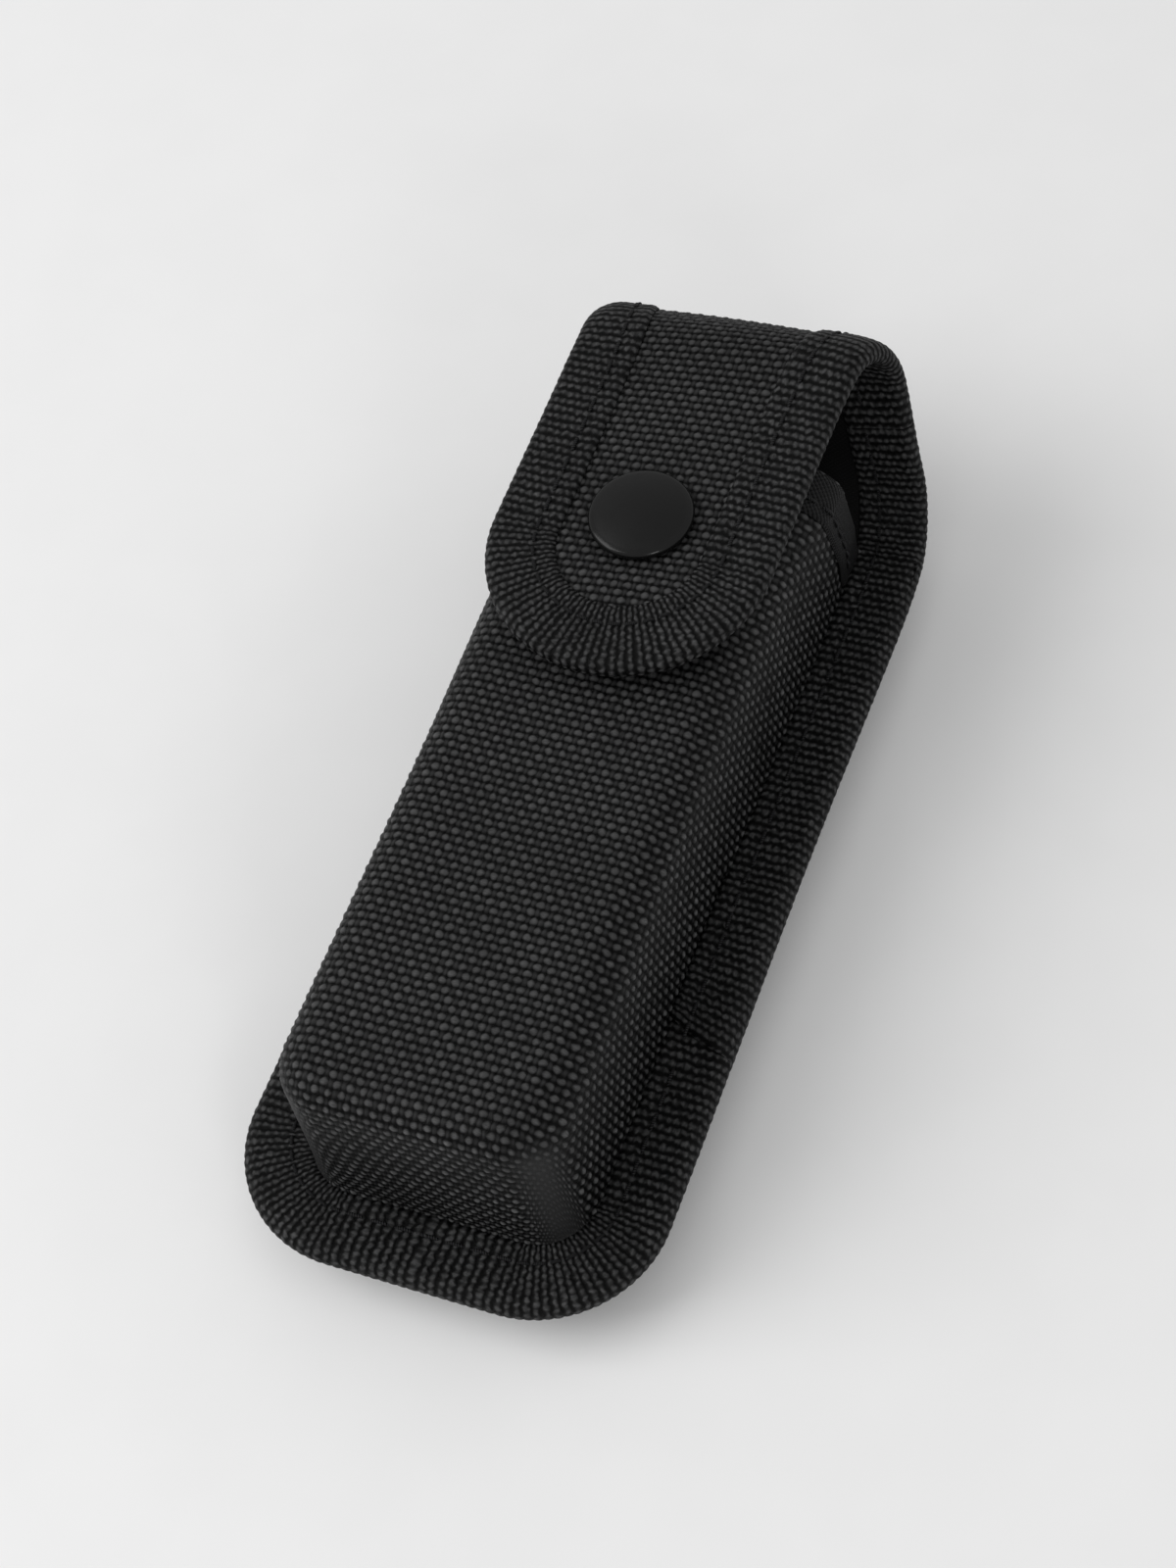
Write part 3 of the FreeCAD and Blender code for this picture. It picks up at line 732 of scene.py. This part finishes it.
def strip_line(s):
    """The strip's outer face at arc length s: y, z and the normal towards the pocket."""
    fold = np.clip((s - FOLD_START) / FOLD_RADIUS, 0, RISE)
    riser = np.clip(s - AT_RISER, 0, RISER)
    turn = np.clip((s - AT_CROWN) / CROWN_RADIUS, 0, math.pi - RISE)
    flap = np.maximum(s - AT_FLAP, 0)
    y = (np.minimum(s, FOLD_START) + FOLD_RADIUS * np.sin(fold) + riser * math.cos(RISE)
         + CROWN_RADIUS * (np.sin(RISE + turn) - math.sin(RISE)) - flap)
    z = (FOLD_RADIUS * (1 - np.cos(fold)) + riser * math.sin(RISE)
         + CROWN_RADIUS * (math.cos(RISE) - np.cos(RISE + turn)))
    return y, z, -np.sin(fold + turn), np.cos(fold + turn)


def on_strip(x, s, offset):
    x, s, offset = np.broadcast_arrays(x, s, offset)
    y, z, ny, nz = strip_line(s)
    return np.stack([x, y + offset * ny, z + offset * nz], -1)


def half_width(s):
    """Half the strip's width: it narrows from the margin to the flap."""
    t = (np.asarray(s, float) - FOLD_START) / (AT_FLAP - FOLD_START)
    k = 14.0
    t = (np.logaddexp(0, k * t) - np.logaddexp(0, k * (t - 1))) / k
    return BODY_HALF + (FLAP_HALF - BODY_HALF) * t


def blended(piece, bodies, start, end):
    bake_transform(piece)


FOLD_BLEND = (("pouch", "crown"), (0, 127, 0), (0, 144.5, 14))
TURN_BLEND = (("crown", "flap"), (0, 146, 22), (0, 133, 38))


def cap_dent(points):
    """How far the cloth is pressed in round the snap."""
    r = np.hypot(points[..., 0], points[..., 1] - SNAP_Y)
    near = (points[..., 2] > 33) * np.exp(-((np.maximum(r - 6.5, 0)) / 2.2) ** 2)
    return 0.28 * near


def make_strip_cloth(label, s, half, step, blend, replaced):
    """Cloth, foam and lining of one length of strip, each a closed sheet."""
    cols = int(round(2 * half.max() / step)) + 1
    share = np.linspace(-1, 1, cols)
    x = share[:, None] * half[None, :]
    rows = np.broadcast_to(s[None, :], x.shape)
    swell = 0.22 * np.clip(1 - share[:, None] ** 2, 0, 1)
    face = on_strip(x, rows, TAPE - swell)
    under = on_strip(x, rows, AT_FOAM - swell * 0.5)
    dent = cap_dent(face)
    skew = FLAP_SKEW * x * smooth(rows, AT_SPLIT, AT_FLAP)
    u, v = wander(x / COLUMN, (rows - AT_SPLIT + skew) / ROW - 0.5, 0.06)
    relief = CLOTH_RELIEF * plain_weave(u, v)
    n = grid_normals(face)
    inward = on_strip(x, rows, 1.0) - on_strip(x, rows, 0.0)
    n *= -np.sign(np.sum(n * inward, -1, keepdims=True))
    face = face + n * (relief - dent)[..., None]
    uv = np.stack([u, v], -1)
    cloth = make_sheet(label + "_cloth", face, under, uv, BALLISTIC)
    blended(cloth, *blend)
    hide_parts(*replaced[0])
    kept = np.ix_(thinned(x.shape[0], 4), thinned(x.shape[1], 4))
    xs, ss = x[kept], rows[kept]
    fine_uv = np.stack([xs, ss], -1) / FINE_YARN
    foam = make_sheet(label + "_foam_core", on_strip(xs, ss, AT_FOAM + 0.08),
                      on_strip(xs, ss, AT_LINING - 0.05), fine_uv, FOAM, 1)
    blended(foam, *blend)
    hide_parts(*replaced[1])
    inside = make_sheet(label + "_lining_cloth", on_strip(xs, ss, AT_INSIDE),
                        on_strip(xs, ss, AT_LINING), fine_uv, LINING, 1)
    blended(inside, *blend)
    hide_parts(*replaced[2])


def make_back():
    step = 0.42
    s = np.arange(AT_SPLIT, UNDER_TAPE + 0.2, -step)[::-1]
    s[-1] = AT_SPLIT
    room = half_width(s) - UNDER_TAPE
    corner = np.sqrt(np.clip((BODY_HALF - CORNER_X - UNDER_TAPE) ** 2
                             - np.clip(CORNER_Y - s, 0, None) ** 2, 0, None)) + CORNER_X
    half = np.where(s < CORNER_Y, corner, room)
    make_strip_cloth("back", s, half, step, FOLD_BLEND,
                     (["back_outer"], ["back_foam"], ["back_lining"]))


def make_flap_cloth():
    step = 0.25
    tip_centre = AT_TIP - FLAP_HALF
    radius = FLAP_HALF - UNDER_TAPE
    s = np.arange(AT_SPLIT, tip_centre + radius * 0.97, step)
    beyond = np.clip(s - tip_centre, 0, None)
    half = np.where(beyond > 0, np.sqrt(np.clip(radius ** 2 - beyond ** 2, 0, None)),
                    half_width(s) - UNDER_TAPE)
    make_strip_cloth("flap", s, half, step, TURN_BLEND,
                     (["flap_outer", "crown_outer"], ["flap_foam", "crown_foam"],
                      ["flap_lining", "crown_lining"]))


# ---- edge tape ----

def resampled(points, step):
    """A line through points in the flattened strip, evenly spaced, with its inward side."""
    points = np.asarray(points, float)
    run = np.concatenate([[0], np.cumsum(np.hypot(*np.diff(points, axis=0).T))])
    count = max(8, int(round(run[-1] / step)))
    at = np.linspace(0, run[-1], count + 1)
    x, s = np.interp(at, run, points[:, 0]), np.interp(at, run, points[:, 1])
    dx, ds = np.gradient(x, at), np.gradient(s, at)
    kernel = np.hanning(13)
    kernel /= kernel.sum()
    dx, ds = (np.convolve(np.pad(d, len(kernel) // 2, mode="edge"), kernel, "valid")
              for d in (dx, ds))
    length = np.hypot(dx, ds)
    return at, x, s, ds / length, -dx / length


def tape_section(n_low, n_high, width, count):
    """Round the edge from one face to the other: inset, offset and the way out, per point."""
    radius = (n_high - n_low)[:, None] / 2
    straight = width - radius
    length = 2 * straight + math.pi * radius
    q = np.linspace(0, 1, count)[None, :] * length
    angle = np.clip((q - straight) / radius, 0, math.pi)
    over = np.maximum(q - straight - math.pi * radius, 0)
    inset = np.where(q < straight, width - q, radius * (1 - np.sin(angle))) + over
    offset = n_low[:, None] + radius * (1 - np.cos(angle))
    return inset, offset, -np.sin(angle), -np.cos(angle), q


def make_tape(name, place, at, n_low, n_high, width, thickness, relief_of, uv_of, material,
              across=0.33):
    """A tape folded over an edge. place(row, inset, offset) gives points in the drawing frame."""
    n_low, n_high = np.broadcast_to(n_low, at.shape), np.broadcast_to(n_high, at.shape)
    count = int((2 * width + 2) / across)
    inset, offset, way_in, way_up, q = tape_section(n_low, n_high, width, count)
    rows = np.arange(len(at))[:, None]
    base = place(rows, inset, offset)
    lifted = place(rows, inset + way_in * 0.1, offset + way_up * 0.1)
    out = lifted - base
    out /= np.linalg.norm(out, axis=-1, keepdims=True)
    edge = np.minimum(q, q[:, -1:] - q)
    relief = relief_of(at[:, None], q, inset) - 0.3 * (1 - smooth(edge, 0, 0.7))
    outer = base + out * relief[..., None]
    keep = thinned(count, 4)
    inner = (base - out * thickness)[:, keep]
    loop = np.concatenate([outer, inner[:, ::-1]], axis=1)
    u, v = uv_of(at[:, None], q)
    u, v = np.broadcast_arrays(u, v)
    uv = np.stack([u, v], -1)
    uv = np.concatenate([uv, uv[:, keep][:, ::-1]], axis=1)
    rows_n, cols = loop.shape[:2]
    i, j = np.meshgrid(np.arange(rows_n - 1), np.arange(cols), indexing="ij")
    k = (j + 1) % cols
    faces = np.stack([i * cols + j, i * cols + k, (i + 1) * cols + k, (i + 1) * cols + j], -1)
    faces = [*faces.reshape(-1, 4)]
    pairs = list(zip(keep[:-1], keep[1:]))
    caps = []
    for row, turn in ((0, -1), (rows_n - 1, 1)):
        first = row * cols
        for number, (p0, p1) in enumerate(pairs):
            top = [first + p for p in range(p0, p1 + 1)]
            low0 = first + cols - 1 - number
            ring = top + [low0 - 1, low0]
            caps.append(np.array(ring[::turn]))
    return make_piece(name, loop.reshape(-1, 3), faces + caps, uv.reshape(-1, 2), material,
                      len(caps))


def strip_placer(line, shear=None):
    _, x, s, in_x, in_s = line

    def place(row, inset, offset):
        along = s[row] + inset * in_s[row]
        if shear is not None:
            along = along + shear(s[row], inset)
        return on_strip(x[row] + inset * in_x[row], along, offset)
    return place


def seam_groove(at, inset):
    """The stitched line pulls the tape in, most where the thread goes down."""
    pull = 0.55 + 0.45 * np.cos(2 * np.pi * at / STITCH_PITCH)
    groove = np.exp(-((inset - SEAM_INSET) / 0.75) ** 2)
    swell = 0.10 * np.exp(-((inset - SEAM_INSET - 1.9) / 0.9) ** 2) * (1 - 0.6 * pull)
    return swell - 0.12 * groove * pull


def make_edge_tape(name, line, low, high, phase, quiet=None, shear=None):
    """Ribbed tape along a line in the strip, pressed flat where quiet says so."""
    def relief(at, q, inset):
        height = TAPE_RELIEF * ribbed(at / RIB + phase, q / CELL)
        height = height + seam_groove(at, inset)
        if quiet is not None:
            height = height * (1 - quiet(at)) - 0.14 * quiet(at)
        return height

    return make_tape(name, strip_placer(line, shear), line[0], low, high, TAPE_WIDTH,
                     TAPE - 0.1, relief,
                     lambda at, q: (at / RIB + phase + 0 * q, q / CELL + 0 * at), EDGE_TAPE)


def arc(cx, cy, radius, start, end, count=60):
    t = np.linspace(start, end, count)
    return np.stack([cx + radius * np.cos(t), cy + radius * np.sin(t)], -1)


def upright(values, side):
    s = np.asarray(values, float)
    return np.stack([side * half_width(s), s], -1)


def stitches_on(place_point, runs_at):
    """Short arched runs for make_stitches at each centre distance."""
    runs = []
    t = np.linspace(-1, 1, 9)
    for centre in runs_at:
        at = centre + t * STITCH_LENGTH / 2
        sink = 0.10 - 0.34 * np.abs(t) ** 3
        points = place_point(at, sink)
        above = place_point(at, sink + 0.3)
        up = above - points
        up /= np.linalg.norm(up, axis=1, keepdims=True)
        runs.append((points, up))
    return runs


def seam_on_tape(line, low, high, keep=None):
    """Stitches on both faces of a tape along its path."""
    at, x, s, in_x, in_s = line
    runs = []
    centres = np.arange(STITCH_PITCH / 2 + 0.4, at[-1] - STITCH_PITCH / 2, STITCH_PITCH)
    for face in (0, 1):
        def point(l, lift, face=face):
            px, ps = np.interp(l, at, x), np.interp(l, at, s)
            mx, ms = np.interp(l, at, in_x), np.interp(l, at, in_s)
            n = np.interp(l, at, high if face else low)
            n = n + (lift if face else -lift)
            return on_strip(px + SEAM_INSET * mx, ps + SEAM_INSET * ms, n)
        use = centres if keep is None else centres[keep(centres)]
        runs += stitches_on(point, use)
    return runs


def make_body_tape():
    start = np.linspace(LAP_END, CORNER_Y, 80)
    line = np.concatenate([
        np.stack([np.full(80, BODY_HALF), start], -1),
        arc(CORNER_X, CORNER_Y, CORNER_Y, 0, -math.pi / 2)[1:],
        arc(-CORNER_X, CORNER_Y, CORNER_Y, -math.pi / 2, -math.pi),
        np.stack([np.full(80, -BODY_HALF), start[::-1]], -1)[1:]])
    line = resampled(line, RIB / 4)
    at = line[0]
    low, high = np.zeros_like(at), np.full_like(at, EDGE_TOP)
    total = at[-1]
    covered = LAP_END - LAP_START

    def quiet(l):
        return 1 - smooth(np.minimum(l, total - l), covered - 1.5, covered - 0.5)

    tape = make_edge_tape("body_tape", line, low, high, 0.0, quiet)
    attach(tape, "pouch")
    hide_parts("body_binding")
    runs = seam_on_tape(line, low, high,
                        lambda c: (c > covered + 2) & (c < total - covered - 2))
    seam = make_stitches("body_seam", runs)
    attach(seam, "pouch")
    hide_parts("body_stitching")


def lap_levels(s):
    """Back and front faces of the upper tape along the strip."""
    over = 1 - smooth(s, LAP_END, LAP_END + LAP_STEP)
    folded = 1 - smooth(s, LAP_START + 5.0, LAP_START + 6.5)
    end = np.clip((s - LAP_START) / 0.9, 0, 1)
    lip = 1 - np.sqrt(1 - (1 - end) ** 2)
    above = (TAPE + 0.28 * folded) * (1 - 0.75 * lip)
    low = -above * over
    margin_top = EDGE_TOP + (AT_FACE - EDGE_TOP) * smooth(s, FOLD_START - 3, FOLD_START + 5)
    return low, margin_top + above * over


def lap_shear(s, inset):
    """The folded end isn't square: it runs further up towards the tape's inner edge."""
    return 3.7 * np.clip(inset / TAPE_WIDTH, 0, 1.2) ** 1.6 * np.exp(-(s - LAP_START) / 7)


def make_upper_tapes():
    runs = []
    for side, label in ((1, "right"), (-1, "left")):
        s = np.linspace(AT_SPLIT, LAP_START, 400)
        line = resampled(upright(s if side > 0 else s[::-1], side), RIB / 4)
        low, high = lap_levels(line[2])
        phase = 0.5 if side > 0 else 0.5 - line[0][-1] / RIB
        tape = make_edge_tape("upper_tape_" + label, line, low, high, phase, shear=lap_shear)
        blended(tape, *FOLD_BLEND)
        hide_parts("upper_binding_" + label)
        runs += seam_on_tape(line, low, high)
    seam = make_stitches("upper_seam", runs)
    blended(seam, *FOLD_BLEND)
    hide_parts("upper_stitching")


def make_flap_tape():
    s = np.linspace(AT_SPLIT, AT_TIP - FLAP_HALF, 300)
    tip = arc(0, AT_TIP - FLAP_HALF, FLAP_HALF, math.pi, 0, 120)
    line = np.concatenate([upright(s, -1), tip[1:-1], upright(s[::-1], 1)])
    line = resampled(line, RIB / 4)
    low, high = np.zeros_like(line[0]), np.full_like(line[0], AT_FACE)
    tape = make_edge_tape("flap_tape", line, low, high, 0.5)
    blended(tape, *TURN_BLEND)
    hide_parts("flap_binding", "crown_binding_right", "crown_binding_left")
    seam = make_stitches("flap_seam", seam_on_tape(line, low, high))
    blended(seam, *TURN_BLEND)
    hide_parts("flap_stitching", "crown_stitching")


# ---- mouth tape ----

def make_mouth_tape():
    floor_m = FOOT_START - (MOUTH_TAPE_FLOOR - FLANGE_TOP - FOOT_ROUND)
    end = CORNER_X + floor_m
    step = 0.26
    at = np.arange(-end, end, step)

    def by_mouth(a, first, second, share, inset):
        """Points by the mouth, a share of the way from one inset of the wall to another."""
        side = np.maximum(np.abs(a) - CORNER_X, 0)
        out, z = wall_profile(side, SIDE_ROUND, first, FLANGE_TOP)
        out_to, z_to = wall_profile(side, SIDE_ROUND, second, FLANGE_TOP)
        x = np.where(side > 0, np.sign(a) * (CORNER_X + out + (out_to - out) * share), a)
        z = z + (z_to - z) * share
        return np.stack([x, mouth_edge(z) + MOUTH_TAPE - inset, z], -1)

    def place(row, inset, offset):
        return by_mouth(at[row] + 0 * inset, 0.0, 1.0, offset, inset)

    def relief(l, q, inset):
        height = 0.05 * twilled(l / TWILL, q / TWILL)
        return height - 0.14 * np.exp(-((inset - MOUTH_SEAM) / 0.6) ** 2)

    tape = make_tape("mouth_tape", place, at, np.full_like(at, -MOUTH_TAPE),
                     np.full_like(at, WALL_LAYERS + MOUTH_TAPE), MOUTH_TAPE_WIDTH,
                     MOUTH_TAPE - 0.08, relief,
                     lambda l, q: (l / TWILL + 0 * q, q / TWILL + 0 * l), MOUTH, step)
    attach(tape, "pouch")
    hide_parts("mouth_binding")

    def point(l, lift):
        return by_mouth(l, -MOUTH_TAPE, -MOUTH_TAPE - 1.0, lift, MOUTH_SEAM)

    centres = np.arange(-end + 3, end - 2, STITCH_PITCH)
    seam = make_stitches("mouth_seam", stitches_on(point, centres))
    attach(seam, "pouch")
    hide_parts("mouth_stitching")


# ---- belt loop ----

LOOP_HALF, LOOP_THICK, LOOP_GAP = 19.0, 1.4, 6.0
LOOP_START, LOOP_TAB, LOOP_RAMP, LOOP_SPAN = 38.0, 9.0, 5.0, 55.0
LOOP_END = LOOP_START + 2 * LOOP_TAB + 2 * LOOP_RAMP + LOOP_SPAN
LOOP_SEAM_INSET, LOOP_STITCH_PITCH = 2.0, 3.0


def make_belt_loop():
    y = np.arange(LOOP_START, LOOP_END + 0.01, 0.3)
    inside = np.minimum(y - LOOP_START - LOOP_TAB, LOOP_END - LOOP_TAB - y)
    drop = LOOP_GAP * smooth(inside, -1.0, LOOP_RAMP + 1.0)
    top = TAPE - 0.12 - drop
    x = np.arange(-LOOP_HALF, LOOP_HALF + 0.01, 0.38)
    xx, yy = np.meshgrid(x, y, indexing="ij")
    slope = np.gradient(top, y)
    ny, nz = -slope / np.hypot(1, slope), 1 / np.hypot(1, slope)
    edge = LOOP_HALF - np.abs(xx)
    thin = 0.35 * (1 - smooth(edge, 0, 0.8))
    u, v = yy / RIB, xx / CELL
    relief = 0.10 * ribbed(u, v)
    thick = LOOP_THICK - 0.22
    down = thick - thin + relief
    low = np.stack([xx, yy - ny[None] * down, top[None] - nz[None] * down], -1)
    high = np.stack([xx, yy - ny[None] * thin, top[None] - nz[None] * thin], -1)
    loop = make_sheet("belt_webbing", low, high, np.stack([u, v], -1), WEBBING, 2)
    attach(loop, "pouch")
    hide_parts("belt_loop")
    runs = []
    face_z = TAPE - LOOP_THICK
    side = LOOP_HALF - LOOP_SEAM_INSET
    for y0 in (LOOP_START, LOOP_END - LOOP_TAB):
        low_y, high_y = y0 + LOOP_SEAM_INSET, y0 + LOOP_TAB - LOOP_SEAM_INSET
        corners = [(-side, low_y), (side, low_y), (side, high_y), (-side, high_y),
                   (-side, low_y)]
        for (xa, ya), (xb, yb) in zip(corners, corners[1:]):
            length = math.hypot(xb - xa, yb - ya)
            count = max(1, int(round(length / LOOP_STITCH_PITCH)))

            def point(l, lift, xa=xa, ya=ya, xb=xb, yb=yb, length=length):
                t = l / length
                return np.stack([xa + (xb - xa) * t, ya + (yb - ya) * t,
                                 face_z - lift], -1)
            middles = (np.arange(count) + 0.5) * length / count
            runs += stitches_on(point, middles)
    seam = make_stitches("belt_loop_seam", runs)
    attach(seam, "pouch")
    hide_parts("belt_loop_stitching")


# ---- snap ----

POST, FLARE = 1.8, 2.6                  # radii of the cap's post and of its flare


def make_cap():
    """The pressed cap, its post and the flare that holds the socket."""
    seat, radius, height, rim = FLAP_TOP - TAPE, 7.5, 2.6, 0.8
    top = seat + height
    shoulder = radius - rim
    crown = height - 2 * rim
    dome = (shoulder ** 2 + crown ** 2) / (2 * crown)
    profile = [(0.0, top)]
    for r in np.linspace(0.4, shoulder, 22):
        profile.append((r, top - dome + math.sqrt(dome ** 2 - r ** 2)))
    tilt = math.asin(shoulder / dome)
    for t in np.linspace(math.pi / 2 - tilt, -math.pi / 2, 18)[1:]:
        profile.append((shoulder + rim * math.cos(t), seat + rim + rim * math.sin(t)))
    bottom = FLAP_TOP - AT_INSIDE - 0.5
    profile += [(3.0, seat), (POST, seat - 0.05), (POST, bottom), (FLARE, bottom - 0.02),
                (FLARE, bottom - 0.2), (2.5, bottom - 0.25), (0.0, bottom - 0.25)]
    count = 144
    turn = np.linspace(0, 2 * np.pi, count, endpoint=False)
    points = [(0, SNAP_Y, profile[0][1])]
    for r, z in profile[1:-1]:
        points += [(r * math.cos(t), SNAP_Y + r * math.sin(t), z) for t in turn]
    points.append((0, SNAP_Y, profile[-1][1]))
    faces = []
    rings = len(profile) - 2
    for j in range(count):
        k = (j + 1) % count
        faces.append(np.array([0, 1 + j, 1 + k]))
        for i in range(rings - 1):
            a, b = 1 + i * count, 1 + (i + 1) * count
            faces.append(np.array([a + j, b + j, b + k, a + k]))
        last = 1 + (rings - 1) * count
        faces.append(np.array([last + k, last + j, len(points) - 1]))
    points = np.array(points)
    cap = make_piece("snap_button", points, faces, points[:, :2].copy(), PAINT)
    reach = np.hypot(points[:, 0], points[:, 1] - SNAP_Y)
    # The rolled rim: worn smooth, and painted a little lighter as a highlight.
    wear_and_highlight = smooth(reach, shoulder - 0.5, shoulder + 0.4) * (points[:, 2] > seat + 0.3)
    add_attribute(cap, "wear_and_highlight", wear_and_highlight)
    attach(cap, "flap")
    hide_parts("snap_cap")


def finish_metal():
    for name in ("snap_socket", "snap_spring", "snap_stud", "snap_rivet"):
        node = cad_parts[name]
        node.data.materials.clear()
        node.data.materials.append(METAL)


make_shell()
make_back()
make_flap_cloth()
make_body_tape()
make_upper_tapes()
make_flap_tape()
make_mouth_tape()
make_belt_loop()
make_cap()
finish_metal()


# ---- floor, light and camera ----

def make_floor():
    half = 3.0
    mesh = bpy.data.meshes.new("floor")
    mesh.from_pydata([(-half, -half, 0), (half, -half, 0), (half, half, 0), (-half, half, 0)],
                     [], [(0, 1, 2, 3)])
    sh = Shader("floor_paper")
    tone = sh.spread(sh.place_noise(60.0), 0.0, 1.0)
    colour = sh.blend_colours(tone, grey(0.79), grey(0.80))
    mesh.materials.append(sh.finish(colour, 0.9, None, 0.1))
    floor = bpy.data.objects.new("floor", mesh)
    bpy.context.scene.collection.objects.link(floor)


def area_light(name, place, aim, size, power):
    data = bpy.data.lights.new(name, "AREA")
    data.shape = "RECTANGLE"
    data.size, data.size_y = size
    data.energy = power
    light = bpy.data.objects.new(name, data)
    light.location = place
    light.rotation_mode = "QUATERNION"
    light.rotation_quaternion = (Vector(aim) - Vector(place)).to_track_quat("-Z", "Y")
    bpy.context.scene.collection.objects.link(light)


def make_lights():
    world = bpy.data.worlds.new("studio")
    world.use_nodes = True
    background = world.node_tree.nodes["Background"]
    background.inputs["Color"].default_value = (1, 1, 1, 1)
    background.inputs["Strength"].default_value = 0.67
    bpy.context.scene.world = world
    middle = (0, 0, 0.02)
    area_light("key", (-0.75, -0.35, 0.75), middle, (0.8, 0.8), 6.8)
    area_light("fill", (0.6, -0.7, 0.5), middle, (0.28, 0.2), 1.3)


def make_camera():
    """A long lens over the closed end, turned a little round its axis."""
    azimuth, elevation, roll = (math.radians(v) for v in (33.22, 56.66, -15.0))
    distance, lens = 501.93, 79.14
    target = np.array([-5.409, 82.368, 0.0])
    right = np.array([math.cos(azimuth), math.sin(azimuth), 0])
    forward = np.array([-math.sin(azimuth) * math.cos(elevation),
                        math.cos(azimuth) * math.cos(elevation), -math.sin(elevation)])
    up = np.cross(right, forward)
    turned_right = math.cos(roll) * right + math.sin(roll) * up
    turned_up = -math.sin(roll) * right + math.cos(roll) * up
    place = (target - distance * forward + ORIGIN) / 1000
    data = bpy.data.cameras.new("camera")
    data.lens = lens
    data.sensor_width = 36.0
    data.clip_start = 0.01
    camera = bpy.data.objects.new("camera", data)
    matrix = Matrix([[turned_right[i], turned_up[i], -forward[i], place[i]] for i in range(3)]
                    + [[0, 0, 0, 1]])
    camera.matrix_world = matrix
    bpy.context.scene.collection.objects.link(camera)
    bpy.context.scene.camera = camera


make_floor()
make_lights()
make_camera()
bpy.context.scene.view_settings.view_transform = "Standard"
